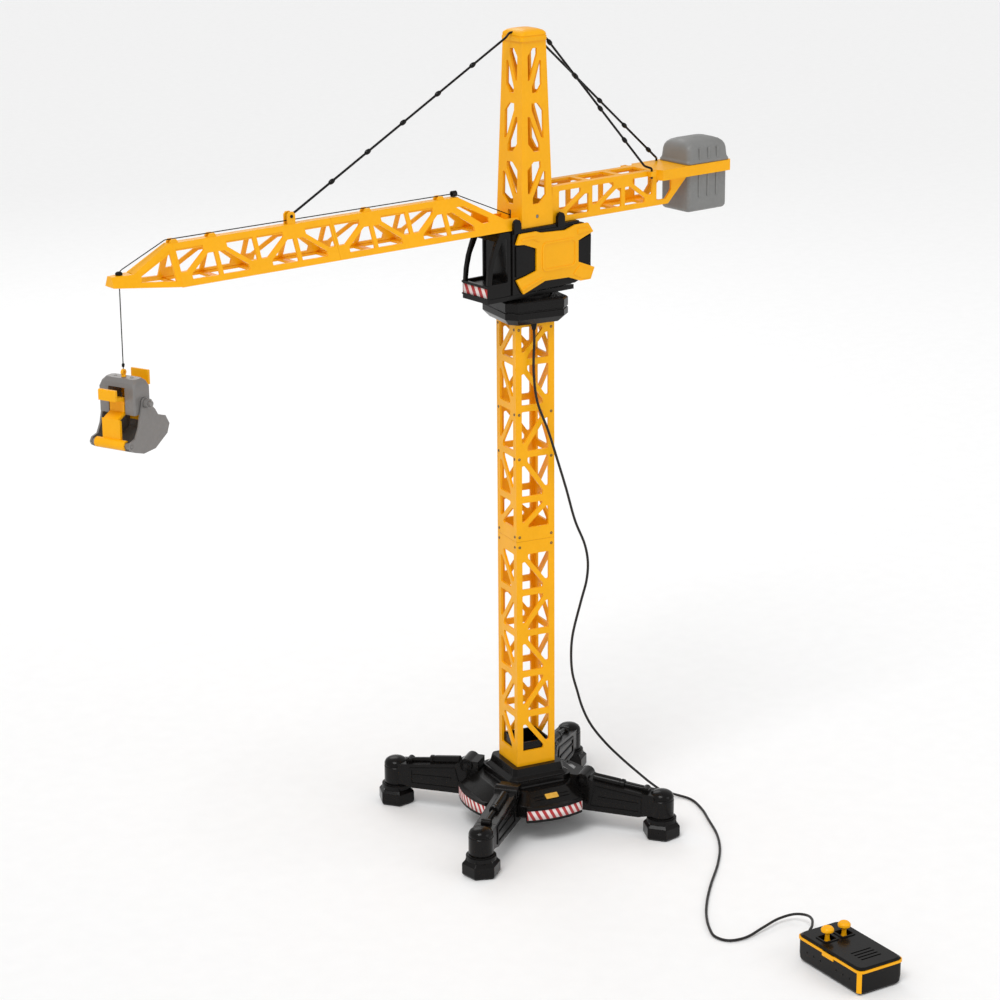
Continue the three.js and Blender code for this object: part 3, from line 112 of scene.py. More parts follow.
# The places are in millimetres: down the mast in the base's frame, over the floor in the jib's, and into
# the handset in its own.
CORD_RADIUS = 1.6
CORD_DOWN_MAST = [
    (-4, -31.2, 644.7), (-4.2, -32.4, 632), (-6, -34, 596), (-2.4, -36, 558), (12.4, -36, 519),
    (23.2, -36, 486), (37, -36, 442), (49.4, -36, 399), (63, -36, 366), (67.2, -36, 343),
    (65.5, -36, 320), (57.9, -36, 294), (46, -36, 250), (44.1, -36, 224), (46, -36, 200),
    (52.6, -36, 176), (60, -36, 152), (72, -36, 127), (93, -36, 98.4), (118, -35, 71),
    (141, -34, 48), (162, -32, 28), (181, -30, 12.5), (198, -29.5, 4.6)]
CORD_ON_FLOOR = [
    (196, -92, 2.3), (187, -123, 2.1), (170, -155, 2.1), (148, -194, 2.1), (122, -227.6, 2.1),
    (86.2, -262, 2.1), (41.2, -298.5, 2.1), (6.2, -329.8, 2.1), (-19.6, -356.8, 2.1),
    (-39.1, -382.9, 2.1), (-49.5, -404, 2.1), (-45, -421, 2.1), (-25, -429, 2.6), (5, -427, 5.4),
    (33, -424, 7), (52, -430, 9), (55, -446, 13), (45, -466, 18), (29, -482, 20)]
CORD_INTO_HANDSET = [(0, 72.3, 20), (0, 66.3, 20)]
CORD_SAMPLES = 6
CORD_SIDES = 16


def to_metres(points, where):
    """Places in millimetres in a frame, as places in metres in the world."""
    return [where @ (Vector(point) * MM) for point in points]


def smooth_path(points, samples):
    """A centripetal Catmull-Rom curve through the points."""
    before = points[0] * 2 - points[1]
    after = points[-1] * 2 - points[-2]
    line = [before, *points, after]
    path = [points[0]]
    for p0, p1, p2, p3 in zip(line, line[1:], line[2:], line[3:]):
        d0, d1, d2 = (math.sqrt((b - a).length) for a, b in ((p0, p1), (p1, p2), (p2, p3)))
        leave = ((p1 - p0) / d0 - (p2 - p0) / (d0 + d1) + (p2 - p1) / d1) * d1
        arrive = ((p2 - p1) / d1 - (p3 - p1) / (d1 + d2) + (p3 - p2) / d2) * d1
        for step in range(1, samples + 1):
            t = step / samples
            path.append(p1 * (2 * t**3 - 3 * t**2 + 1) + leave * (t**3 - 2 * t**2 + t)
                        + p2 * (3 * t**2 - 2 * t**3) + arrive * (t**3 - t**2))
    return path


def loft(rings):
    """A closed skin through rings of equal point count."""
    bm = bmesh.new()
    levels = [[bm.verts.new(point) for point in ring] for ring in rings]
    for low, high in zip(levels, levels[1:]):
        for i, corner in enumerate(low):
            j = (i + 1) % len(low)
            bm.faces.new((corner, low[j], high[j], high[i]))
    bm.faces.new(levels[0][::-1])
    bm.faces.new(levels[-1])
    return bm


def pipe(path, radius, sides=14):
    """A round bar along a path of vectors."""
    aim = (path[1] - path[0]).normalized()
    across = aim.orthogonal().normalized()
    rings = []
    for i, point in enumerate(path):
        aim = (path[min(i + 1, len(path) - 1)] - path[max(i - 1, 0)]).normalized()
        across = (across - aim * across.dot(aim)).normalized()
        up = aim.cross(across)
        rings.append([point + (across * math.cos(a) + up * math.sin(a)) * radius
                      for a in (2 * math.pi * k / sides for k in range(sides))])
    return loft(rings)


def linked_object(name, bm):
    """A smooth-shaded object of a mesh in metres, with its faces turned outwards."""
    bmesh.ops.recalc_face_normals(bm, faces=bm.faces)
    mesh = bpy.data.meshes.new(name)
    bm.to_mesh(mesh)
    bm.free()
    mesh.polygons.foreach_set("use_smooth", [True] * len(mesh.polygons))
    piece = bpy.data.objects.new(name, mesh)
    bpy.context.scene.collection.objects.link(piece)
    return piece


route = smooth_path(
    to_metres(CORD_DOWN_MAST, STANDING) + to_metres(CORD_ON_FLOOR, SLEWING)
    + to_metres(CORD_INTO_HANDSET, HANDSET), CORD_SAMPLES)
control_cord = linked_object("control_cord_sheath", pipe(route, CORD_RADIUS * MM, CORD_SIDES))
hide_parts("control_cord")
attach(control_cord, "base")

# ---------------------------------------------------------------- materials

# A Mix node's colour sockets share their names with its number sockets, so they are taken by index.
MIX_FIRST_COLOUR = 6
MIX_SECOND_COLOUR = 7
MIX_COLOUR_RESULT = 2


class Finish:
    """A procedural moulded surface: drifting colour, uneven gloss, a fine grain and worn edges."""

    def __init__(self, name, colour, roughness, metallic=0.0, coat=0.0, coat_roughness=0.1,
                 drift=0.08, grain=0.05, grain_scale=1400, wear=0.3, worn=None, swirl=0.0, specular=0.5):
        material = bpy.data.materials.new(name)
        material.use_nodes = True
        self.material = material
        self.nodes = material.node_tree.nodes
        self.links = material.node_tree.links
        shader = self.nodes["Principled BSDF"]
        shader.inputs["Metallic"].default_value = metallic
        shader.inputs["Specular IOR Level"].default_value = specular
        shader.inputs["Coat Weight"].default_value = coat
        shader.inputs["Coat Roughness"].default_value = coat_roughness
        where = self.nodes.new("ShaderNodeTexCoord").outputs["Object"]

        cloud = self.noise(where, 38, 4)
        darker = tuple(c * (1 - drift) for c in colour)
        lighter = tuple(min(1.0, c * (1 + drift)) for c in colour)
        tint = self.ramp(cloud, (0.32, darker), (0.68, lighter))
        speck = self.noise(where, 900, 2)
        mask = self.ramp(speck, (0.62, (0, 0, 0)), (0.72, (1, 1, 1)))
        tint = self.mix(mask, tint, tuple(c * (1 - 1.4 * drift) for c in colour))

        edge = self.nodes.new("ShaderNodeNewGeometry").outputs["Pointiness"]
        scuffs = self.noise(where, 260, 5)
        gate = self.math("MULTIPLY", self.ramp(edge, (0.515, (0, 0, 0)), (0.56, (1, 1, 1))),
                         self.ramp(scuffs, (0.42, (0, 0, 0)), (0.64, (wear, wear, wear))))
        tint = self.mix(gate, tint, worn or tuple(min(1.0, c * 1.5 + 0.04) for c in colour))
        self.links.new(tint, shader.inputs["Base Color"])

        smear = self.noise(where, 95, 6)
        low, high = roughness * 0.82, min(1.0, roughness * 1.22)
        gloss = self.ramp(smear, (0.3, (low,) * 3), (0.7, (high,) * 3))
        self.links.new(gloss, shader.inputs["Roughness"])

        bump = self.nodes.new("ShaderNodeBump")
        bump.inputs["Strength"].default_value = grain
        bump.inputs["Distance"].default_value = 0.0002
        height = self.noise(where, grain_scale, 3)
        if swirl:
            slow = self.noise(where, 60, 2)
            height = self.math("ADD", height, self.math("MULTIPLY", slow, swirl))
        self.links.new(height, bump.inputs["Height"])
        self.links.new(bump.outputs["Normal"], shader.inputs["Normal"])

    def noise(self, where, scale, detail):
        node = self.nodes.new("ShaderNodeTexNoise")
        node.inputs["Scale"].default_value = scale
        node.inputs["Detail"].default_value = detail
        self.links.new(where, node.inputs["Vector"])
        return node.outputs["Fac"]

    def ramp(self, value, low, high):
        node = self.nodes.new("ShaderNodeValToRGB")
        for element, (at, colour) in zip(node.color_ramp.elements, (low, high)):
            element.position = at
            element.color = (*colour, 1)
        self.links.new(value, node.inputs["Fac"])
        return node.outputs["Color"]

    def math(self, operation, first, second):
        node = self.nodes.new("ShaderNodeMath")
        node.operation = operation
        for socket, value in zip(node.inputs, (first, second)):
            if isinstance(value, (int, float)):
                socket.default_value = value
            else:
                self.links.new(value, socket)
        return node.outputs["Value"]

    def mix(self, factor, first, colour):
        node = self.nodes.new("ShaderNodeMix")
        node.data_type = "RGBA"
        self.links.new(factor, node.inputs["Factor"])
        self.links.new(first, node.inputs[MIX_FIRST_COLOUR])
        node.inputs[MIX_SECOND_COLOUR].default_value = (*colour, 1)
        return node.outputs[MIX_COLOUR_RESULT]


def finish(name, colour, roughness, **look):
    return Finish(name, colour, roughness, **look).material


YELLOW = finish("yellow_moulding", (0.93, 0.42, 0.002), 0.34, coat=0.04, coat_roughness=0.25, drift=0.03,
                grain=0.08, wear=0.15, worn=(1.0, 0.52, 0.02), swirl=1.5, specular=0.18)
BLACK = finish("black_gloss_moulding", (0.0048, 0.0042, 0.0040), 0.2, coat=0.03, coat_roughness=0.1,
               drift=0.10, grain=0.05, wear=0.15, worn=(0.014, 0.013, 0.012), swirl=1.5, specular=0.15)
CHARCOAL = finish("charcoal_satin_moulding", (0.0070, 0.0066, 0.0066), 0.38, drift=0.10, grain=0.15,
                  grain_scale=2200, wear=0.15, worn=(0.016, 0.015, 0.015), specular=0.13)
GREY = finish("grey_satin_moulding", (0.205, 0.205, 0.2), 0.42, drift=0.04, grain=0.18, wear=0.25,
              worn=(0.30, 0.30, 0.29), swirl=1.0, specular=0.3)
SILVER = finish("metallic_grey_paint", (0.215, 0.205, 0.198), 0.36, metallic=0.25, drift=0.02, grain=0.10,
                grain_scale=3000, wear=0.12, worn=(0.34, 0.33, 0.32), specular=0.4)
STEEL = finish("machined_steel", (0.62, 0.61, 0.6), 0.3, metallic=1.0, drift=0.06, grain=0.1, wear=0.2)
SCREW = finish("dark_screw_steel", (0.10, 0.085, 0.07), 0.35, metallic=0.9, drift=0.1, wear=0.3)
IRON = finish("cast_iron", (0.18, 0.17, 0.165), 0.62, metallic=0.9, drift=0.15, grain=0.6,
              grain_scale=500, wear=0.3)
BOARD = finish("green_board_lacquer", (0.02, 0.16, 0.05), 0.35, coat=0.4, drift=0.12, grain=0.1)
SHEATH = finish("cable_sheath_vinyl", (0.016, 0.0145, 0.0138), 0.42, drift=0.15, grain=0.25, wear=0.0,
                specular=0.25)
TWINE = finish("black_twine", (0.014, 0.013, 0.0125), 0.75, drift=0.35, grain=1.0, grain_scale=1800,
               wear=0.0, specular=0.15)
RED = finish("red_decal", (0.42, 0.030, 0.032), 0.42, drift=0.08, grain=0.06, wear=0.1, specular=0.3)
WHITE = finish("white_decal", (0.80, 0.70, 0.68), 0.42, drift=0.03, grain=0.06, wear=0.05, specular=0.3)
PLAQUE = finish("amber_plaque", (0.62, 0.33, 0.03), 0.35, drift=0.06, grain=0.05, wear=0.2)
FLOOR = finish("pale_floor", (0.93, 0.93, 0.93), 0.65, drift=0.008, grain=0.0, wear=0.0, specular=0.15)
control_cord.data.materials.append(SHEATH)

SLOT_LOOK = {"yellow_plastic": YELLOW, "black_plastic": BLACK, "grey_plastic": GREY,
             "silver_plastic": SILVER, "steel": STEEL, "iron": IRON, "board": BOARD,
             "cable_sheath": SHEATH, "black_string": TWINE}
NODE_SLOT = {part["node"]: part["material_slot"] for part in frame["record"]["subparts"]}
NODE_BODY = {node: body for body, nodes in frame["record"]["behaviour"]["bodies"].items()
             for node in nodes}

# ---------------------------------------------------------------- mesh helpers

SMOOTH_ANGLE = math.radians(32)
BEVEL_ANGLE = math.radians(24)
WINDOW_ANGLE = math.radians(20)
FLAT_ANGLE = math.radians(1)
MERGE_DISTANCE = 2e-6
WALL_THINNEST = 2.4 * MM
WALL_THICKEST = 3.7 * MM


def bevel(bm, edges, width, segments):
    bmesh.ops.bevel(bm, geom=edges, offset=width, segments=segments, profile=0.5, affect="EDGES",
                    clamp_overlap=True)


def soften(bm, width):
    """Rounds every edge that is sharper than BEVEL_ANGLE."""
    sharp = [edge for edge in bm.edges
             if len(edge.link_faces) == 2 and edge.calc_face_angle(0) > BEVEL_ANGLE]
    bevel(bm, sharp, width, segments=2)


def show(name, bm, body, looks, nodes=()):
    """Makes a visible piece of a mesh in metres, which rides on a body and may replace CAD nodes."""
    piece = linked_object(name, bm)
    mesh = piece.data
    loose_normals = mesh.attributes.get("custom_normal")
    if loose_normals:
        mesh.attributes.remove(loose_normals)
    mesh.set_sharp_from_angle(angle=SMOOTH_ANGLE)
    for material in looks:
        mesh.materials.append(material)
    weighted = piece.modifiers.new("even_normals", "WEIGHTED_NORMAL")
    weighted.keep_sharp = True
    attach(piece, body)
    if nodes:
        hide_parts(*nodes)
    return piece


def node_bmesh(node):
    """A CAD node's mesh without its triangulation."""
    bm = bmesh.new()
    bm.from_mesh(frame["nodes"][node].data)
    for layer in list(bm.loops.layers.uv):
        bm.loops.layers.uv.remove(layer)
    bmesh.ops.remove_doubles(bm, verts=bm.verts, dist=MERGE_DISTANCE)
    bmesh.ops.dissolve_limit(bm, angle_limit=FLAT_ANGLE, verts=bm.verts, edges=bm.edges)
    for face in bm.faces:
        face.material_index = 0
    return bm


def window_corners(bm):
    """The inner corner edges of a lattice's windows, which are as long as its walls are thick."""
    return [edge for edge in bm.edges if WALL_THINNEST < edge.calc_length() < WALL_THICKEST
            and len(edge.link_faces) == 2 and edge.calc_face_angle(0) > WINDOW_ANGLE
            and not edge.is_convex]


def rounded(node, width, corner=0.0):
    """A bevelled copy of a CAD node. With a corner radius, its window corners are rounded first."""
    bm = node_bmesh(node)
    if corner:
        bevel(bm, window_corners(bm), corner * MM, segments=3)
    soften(bm, width * MM)
    slot_name = NODE_SLOT[node]
    return show(node + "_fine", bm, NODE_BODY[node], [SLOT_LOOK[slot_name]], [node])


# ---------------------------------------------------------------- shape helpers, in millimetres


def upright(u, v, w):
    """Reads an outline as X and Y, with its thickness along Z."""
    return u, v, w


def sideways(u, v, w):
    """Reads an outline as X and Z, with its thickness along Y."""
    return u, w, v


def endways(u, v, w):
    """Reads an outline as Y and Z, with its thickness along X."""
    return w, u, v


def slab(outline, low, high, lift=upright, soft=0.0):
    """A flat plate of an outline between two levels, with its edges rounded by soft."""
    bm = loft([[lift(u, v, w) for u, v in outline] for w in (low, high)])
    if soft:
        soften(bm, soft)
    return bm


def rim(outer, inner, low, high, lift=upright, soft=0.0):
    """A raised frame between two outlines of equal point count."""
    bm = bmesh.new()
    loops = [[bm.verts.new(lift(u, v, w)) for u, v in line]
             for line, w in ((outer, low), (outer, high), (inner, high), (inner, low))]
    for here, there in zip(loops, loops[1:] + loops[:1]):
        for i, corner in enumerate(here):
            j = (i + 1) % len(here)
            bm.faces.new((corner, here[j], there[j], there[i]))
    if soft:
        soften(bm, soft)
    return bm


def lathe(profile, segments=40):
    """A body turned about Z from radius and height pairs that start and end on the axis."""
    bm = bmesh.new()
    angles = [2 * math.pi * i / segments for i in range(segments)]
    rings = [[bm.verts.new((radius * math.cos(a), radius * math.sin(a), z)) for a in angles]
             if radius else [bm.verts.new((0, 0, z))] for radius, z in profile]
    for low, high in zip(rings, rings[1:]):
        for i in range(segments):
            j = (i + 1) % segments
            corners = (low[i % len(low)], low[j % len(low)], high[j % len(high)], high[i % len(high)])
            distinct = list(dict.fromkeys(corners))
            if len(distinct) > 2:
                bm.faces.new(distinct)
    return bm


def aimed(bm, at, direction=(0, 0, 1)):
    """Turns a shape's Z axis to a direction and moves it to a place."""
    turn = Vector((0, 0, 1)).rotation_difference(Vector(direction)).to_matrix().to_4x4()
    bmesh.ops.transform(bm, matrix=Matrix.Translation(at) @ turn, verts=bm.verts)
    return bm


def circle(radius, steps=48):
    return [(radius * math.cos(a), radius * math.sin(a))
            for a in (2 * math.pi * k / steps for k in range(steps))]


def round_rectangle(half_x, half_y, radius, x=0.0, y=0.0, steps=5):
    points = []
    for quarter, (sx, sy) in enumerate(((1, 1), (-1, 1), (-1, -1), (1, -1))):
        for step in range(steps + 1):
            angle = math.pi / 2 * (quarter + step / steps)
            points.append((x + sx * (half_x - radius) + radius * math.cos(angle),
                           y + sy * (half_y - radius) + radius * math.sin(angle)))
    return points


def put(pieces, where):
    """Joins shapes in millimetres into one mesh in metres, at its place."""
    whole = bmesh.new()
    for bm in pieces:
        mesh = bpy.data.meshes.new("shape")
        bm.to_mesh(mesh)
        bm.free()
        whole.from_mesh(mesh)
        bpy.data.meshes.remove(mesh)
    bmesh.ops.transform(whole, matrix=where @ Matrix.Scale(MM, 4), verts=whole.verts)
    return whole


def turned_about(angle):
    return Matrix.Rotation(angle, 4, "Z")


def mirror_y(side, low, high):
    """A span along Y, or its mirror image when side is negative."""
    return (-high, -low) if side < 0 else (low, high)


# ---------------------------------------------------------------- all nodes, bevelled

LATTICES = ("mast_lower_front", "mast_lower_rear", "mast_upper_front", "mast_upper_rear",
            "tower_head", "jib_inner", "jib_outer", "counter_jib")
REBUILT = ("control_cord", "hoist_string_run", "hoist_string_drop", "front_stay", "rear_stay_left",
           "rear_stay_right", "head_cap", "counterweight_box", "counterweight_lid", "stick_left",
           "stick_right", "cord_gland", "slew_motor")
EDGE_WIDTH = {"turntable_housing": 1.4, "latch_front": 0.8, "latch_rear": 0.8, "grab_housing": 1.1,
              "handset_bottom": 1.2, "base_hub": 1.2, "circuit_board": 0.2, "grab_eyelet": 0.5}
for node in NODE_BODY:
    if node in REBUILT:
        continue
    if node in LATTICES:
        rounded(node, 0.35, corner=1.6)
    else:
        rounded(node, EDGE_WIDTH.get(node, 0.7))

# ---------------------------------------------------------------- hazard strips

BAR_STEPS = 4
NO_WIDTH = 1e-6
WELD_DISTANCE = 1e-4
FILM_THICKNESS = 0.12 * MM
FILM_LIFT = 0.15


def striped(length, height, pitch, slant, lift):
    """Slanting red and white bars over a strip; lift turns a place along and up it into X, Y, Z."""
    bm = bmesh.new()
    count = math.ceil((length + abs(slant)) / pitch)
    for k in range(-count, count + 1):
        for step in range(BAR_STEPS):
            edges = [k * pitch + pitch * (step + side) / BAR_STEPS for side in (0, 1)]
            low = [min(max(u, 0.0), length) for u in edges]
            high = [min(max(u + slant, 0.0), length) for u in edges]
            corners = [(low[0], 0.0), (low[1], 0.0), (high[1], height), (high[0], height)]
            distinct = list(dict.fromkeys(corners))
            if low[1] - low[0] + high[1] - high[0] < NO_WIDTH or len(distinct) < 3:
                continue
            face = bm.faces.new([bm.verts.new(lift(u, v)) for u, v in distinct])
            face.material_index = k % 2
    bmesh.ops.remove_doubles(bm, verts=bm.verts, dist=WELD_DISTANCE)
    return bm


def add_decal(name, bm, where, body):
    decal = show(name, put([bm], where), body, [WHITE, RED])
    film = decal.modifiers.new("film", "SOLIDIFY")
    film.thickness = FILM_THICKNESS
    film.offset = 1.0


# ---------------------------------------------------------------- base details

SKIRT_RADIUS = 110.0
SKIRT_CENTRE = -25.8
SKIRT_SWEEP = math.radians(20.5)
SKIRT_STEPS = 16
SKIRT_BACK_X = 74
LEDGE_OVERHANG = 1.2
STRIP_LOW = 33.5
STRIP_HIGH = 45.5
STRIP_PITCH = 4.5
STRIP_SLANT = 6.5
LEG_RADIUS = 177
LEG_HALF_WIDTH = 12.6
SIDES = [math.radians(90 * i) for i in range(4)]
CORNERS = [math.radians(45 + 90 * i) for i in range(4)]


def skirt_point(angle, radius, z):
    return SKIRT_CENTRE + radius * math.cos(angle), radius * math.sin(angle), z


def skirt_outline():
    arc = [skirt_point(SKIRT_SWEEP * (2 * i / SKIRT_STEPS - 1), SKIRT_RADIUS, 0)[:2]
           for i in range(SKIRT_STEPS + 1)]
    return [(SKIRT_BACK_X, arc[0][1]), *arc, (SKIRT_BACK_X, arc[-1][1])]


for number, angle in enumerate(SIDES):
    here = STANDING @ turned_about(angle)
    ledge = slab([(x + (LEDGE_OVERHANG if x > SKIRT_BACK_X else 0), y) for x, y in skirt_outline()],
                 47.6, 50.0, soft=0.5)
    show(f"base_skirt_{number}", put([slab(skirt_outline(), 30, 48, soft=0.7), ledge], here), "base",
         [CHARCOAL])
    strip_length = 2 * SKIRT_SWEEP * SKIRT_RADIUS
    strip = striped(strip_length, STRIP_HIGH - STRIP_LOW, STRIP_PITCH, STRIP_SLANT, lambda u, v: skirt_point(
        SKIRT_SWEEP - u / SKIRT_RADIUS, SKIRT_RADIUS + FILM_LIFT, STRIP_LOW + v))
    add_decal(f"base_strip_{number}", strip, here, "base")

collar = rim(round_rectangle(44, 44, 12), round_rectangle(34, 34, 4), 64, 70, soft=0.8)
show("base_collar", put([collar], STANDING), "base", [BLACK])


def leg_cap():
    """The round cover over a foot's post."""
    profile = [(0, 28.4), (15.0, 28.4), (15.3, 29.2), (15.3, 49.4), (14.5, 50.2), (14.5, 51.4), (15.2, 52.2),
               (14.8, 54.6), (13.2, 57.6), (10, 59.8), (5.5, 61.1), (0, 61.5)]
    return aimed(lathe(profile), (LEG_RADIUS, 0, 0))


def leg_ram():
    """A moulded ram: its barrel and rod, the eye at the foot and the hinge barrel at the hub."""
    barrel = lathe([(0, 0), (5.6, 0), (6.1, 0.5), (6.1, 33.5), (5.5, 34.2), (5.5, 35.4), (6.4, 36), (6.4, 39.6),
                    (5.6, 40.4), (0, 40.4)], 28)
    rod = lathe([(0, 0), (3.3, 0), (3.3, 34), (0, 34)], 24)
    eye = lathe([(0, -6), (4.0, -6), (4.7, -5.4), (4.7, 5.4), (4.0, 6), (0, 6)], 24)
    hinge = lathe([(0, -15.6), (3.2, -15.6), (3.5, -15), (8.2, -15), (8.9, -14.2), (8.9, 14.2), (8.2, 15),
                   (3.5, 15), (3.2, 15.6), (0, 15.6)], 32)
    return [aimed(barrel, (89, 0, 67.2), (38, 0, -4.4)), aimed(rod, (124, 0, 63.1), (34, 0, -3.6)),
            aimed(eye, (157, 0, 59.3), (0, 1, 0)), aimed(hinge, (77, 0, 67), (0, 1, 0))]


def leg_trims():
    """The framed relief on both sides of a leg, and three ribs across its top."""
    trims = []
    for side in (-1, 1):
        near, far = mirror_y(side, LEG_HALF_WIDTH, LEG_HALF_WIDTH + 1.5)
        trims.append(rim([(84, 31), (154, 30.5), (154, 53.5), (92, 61)],
                         [(87.5, 34), (151, 33.5), (151, 50.8), (93, 57.6)], near, far, sideways, soft=0.4))
        trims.append(slab([(98, 44.5), (150, 43), (150, 45), (98, 47)], near, far, sideways, soft=0.3))
    for x in (146, 151, 156):
        top = 59.0 - (x - 146) * 0.1
        trims.append(slab([(-11.5, 57.0), (11.5, 57.0), (11.5, top), (-11.5, top)], x - 1.0, x + 1.0, endways,
                          soft=0.4))
    return trims


def foot_collar():
    return aimed(rim(circle(18.6), circle(15.4), 20.5, 25.6, soft=0.8), (LEG_RADIUS, 0, 0))


for number, angle in enumerate(CORNERS):
    here = STANDING @ turned_about(angle)
    show(f"leg_cap_{number}", put([leg_cap()], here), "base", [BLACK])
    show(f"leg_ram_{number}", put(leg_ram(), here), "base", [BLACK])
    show(f"leg_trim_{number}", put(leg_trims(), here), "base", [CHARCOAL])
    show(f"foot_collar_{number}", put([foot_collar()], here), "base", [CHARCOAL])

PLAQUE_TILT = math.atan2(12, 20)
plaque_place = (STANDING @ turned_about(math.radians(-90)) @ Matrix.Translation((0.0685, 0, 0.0563))
                @ Matrix.Rotation(PLAQUE_TILT, 4, "Y"))
plaque = slab(round_rectangle(3.8, 8.5, 1.0), 0, 0.8, soft=0.25)
show("base_plaque", put([plaque], plaque_place), "base", [PLAQUE])
scribes = [slab([(x - 0.3, y0), (x + 0.3, y0), (x + 0.3, y1), (x - 0.3, y1)], 0, 0.35)
           for x in (-2.4, 2.4) for y0, y1 in ((-24, -11), (11, 24))]
show("base_scribes", put(scribes, plaque_place), "base", [CHARCOAL])

# ---------------------------------------------------------------- screws

MAST_FACE = 26.0
SCREW_RADIUS = 1.7
SCREW_SIDE = 21.6
SCREW_HEIGHTS = (645, 540, 484, 385, 372)


def screw_head():
    radius = SCREW_RADIUS
    return lathe([(0, -0.25), (radius * 0.42, -0.25), (radius * 0.46, 0.45), (radius * 0.8, 0.5), (radius, 0.1),
                  (radius, -0.6), (0, -0.6)], 20)


for number, angle in enumerate(SIDES):
    heads = [aimed(screw_head(), (MAST_FACE, y, z), (1, 0, 0))
             for z in SCREW_HEIGHTS for y in (-SCREW_SIDE, SCREW_SIDE)]
    show(f"mast_screws_{number}", put(heads, STANDING @ turned_about(angle)), "base", [SCREW])

# ---------------------------------------------------------------- cab

CAB_FACE = 30.3
CAB_SHELL_FACE = 26.5
CABIN_FRONT = -76.0
CABIN_HALF_WIDTH = 23.0
CABIN_STRIP_LOW = 691.0



def cab_panel(side):
    """The raised frame in the middle of a side cover, and the raised edges of its four arms."""
    low, high = mirror_y(side, CAB_FACE - 0.4, CAB_FACE + 0.7)
    panel = rim(round_rectangle(26.5, 17.5, 6.5, 28.5, 731), round_rectangle(24, 15, 5, 28.5, 731), low, high,
                sideways, soft=0.35)
    arms = ([(-30, 757.5), (-10, 758), (-2, 753), (-4, 751), (-12, 755.5), (-30, 755)],
            [(-29, 695), (2, 705), (2, 707.2), (-29, 697.4)],
            [(57, 758.5), (73, 757.5), (76, 753.8), (57, 752)],
            [(50, 704), (64, 697), (77, 697), (80, 705), (60, 713.5)])
    return [panel, *(slab(outline, low, high, sideways, soft=0.3) for outline in arms)]


def cab_infills(side):
    """The dark panels of the shell that show in front of and behind a side cover."""
    low, high = mirror_y(side, CAB_SHELL_FACE - 0.3, CAB_SHELL_FACE + 1.8)
    outlines = ([(-36, 712), (-25.5, 712.5), (-8, 717), (-8, 742), (-25.5, 748.6), (-36, 749)],
                [(60, 719), (79, 714), (79.5, 748), (60, 743)])
    return [slab(outline, low, high, sideways, soft=0.5) for outline in outlines]


for name, side in (("left", -1), ("right", 1)):
    show(f"cab_panel_{name}", put(cab_panel(side), SLEWING), "slewing", [YELLOW])
    show(f"cab_infill_{name}", put(cab_infills(side), SLEWING), "slewing", [CHARCOAL])

strip = striped(2 * CABIN_HALF_WIDTH, 11.6, 6.4, 6.0,
                lambda u, v: (CABIN_FRONT - 0.12, u - CABIN_HALF_WIDTH, CABIN_STRIP_LOW + v))
add_decal("cabin_strip", strip, SLEWING, "slewing")
sills = [slab([(-24.6, low), (24.6, low), (24.6, high), (-24.6, high)], -77.0, -73.0, endways, soft=soft)
         for low, high, soft in ((703.4, 706.0, 0.5), (689.4, CABIN_STRIP_LOW, 0.4))]
show("cabin_sills", put(sills, SLEWING), "slewing", [BLACK])
motor = aimed(lathe([(0, 690), (9.4, 690), (10, 690.6), (10, 714.4), (9.4, 715), (4, 715), (3.8, 717), (0, 717)]),
              (-18.2, 0, 0))
show("slew_motor_fine", put([motor], SLEWING), NODE_BODY["slew_motor"], [STEEL], ["slew_motor"])
gland = aimed(lathe([(0, 645), (2.1, 645), (2.5, 645.6), (3.5, 650.7), (3.5, 652.7), (0, 652.7)]),
              (-4, -31.2, 0))
show("cord_gland_fine", put([gland], STANDING), NODE_BODY["cord_gland"], [BLACK], ["cord_gland"])

# ---------------------------------------------------------------- cap, counterweight

cap_rings = [(19.5, 4, 986.3), (19.8, 4, 986.9), (19.8, 4, 991.4), (19.1, 4, 991.9), (19.1, 4, 992.7),
             (19.6, 4.5, 993.2), (19.0, 5, 995.6), (17.0, 6, 997.7), (13.5, 7, 999.1), (8.5, 5, 999.8),
             (3.0, 2, 1000.0)]
cap = loft([[(x, y, z) for x, y in round_rectangle(half, half, corner)] for half, corner, z in cap_rings])
show("head_cap_fine", put([cap], SLEWING), NODE_BODY["head_cap"], [YELLOW], ["head_cap"])

WEIGHT_MIDDLE = 271.5
RIB_X = (-14.5, 0.0, 14.5)


def weight_loft(levels):
    return loft([[(x, y, z) for x, y in round_rectangle(half_x, half_y, corner, WEIGHT_MIDDLE)]
                 for half_x, half_y, corner, z in levels])


def weight_ribs(face, low, high):
    """Upright ribs on both long sides, standing out from a face."""
    shapes = []
    for side in (-1, 1):
        near, far = mirror_y(side, face - 0.6, face + 0.9)
        shapes += [slab(round_rectangle(1.5, (high - low) / 2, 1.4, WEIGHT_MIDDLE + x, (low + high) / 2),
                        near, far, sideways, soft=0.55) for x in RIB_X]
    return shapes


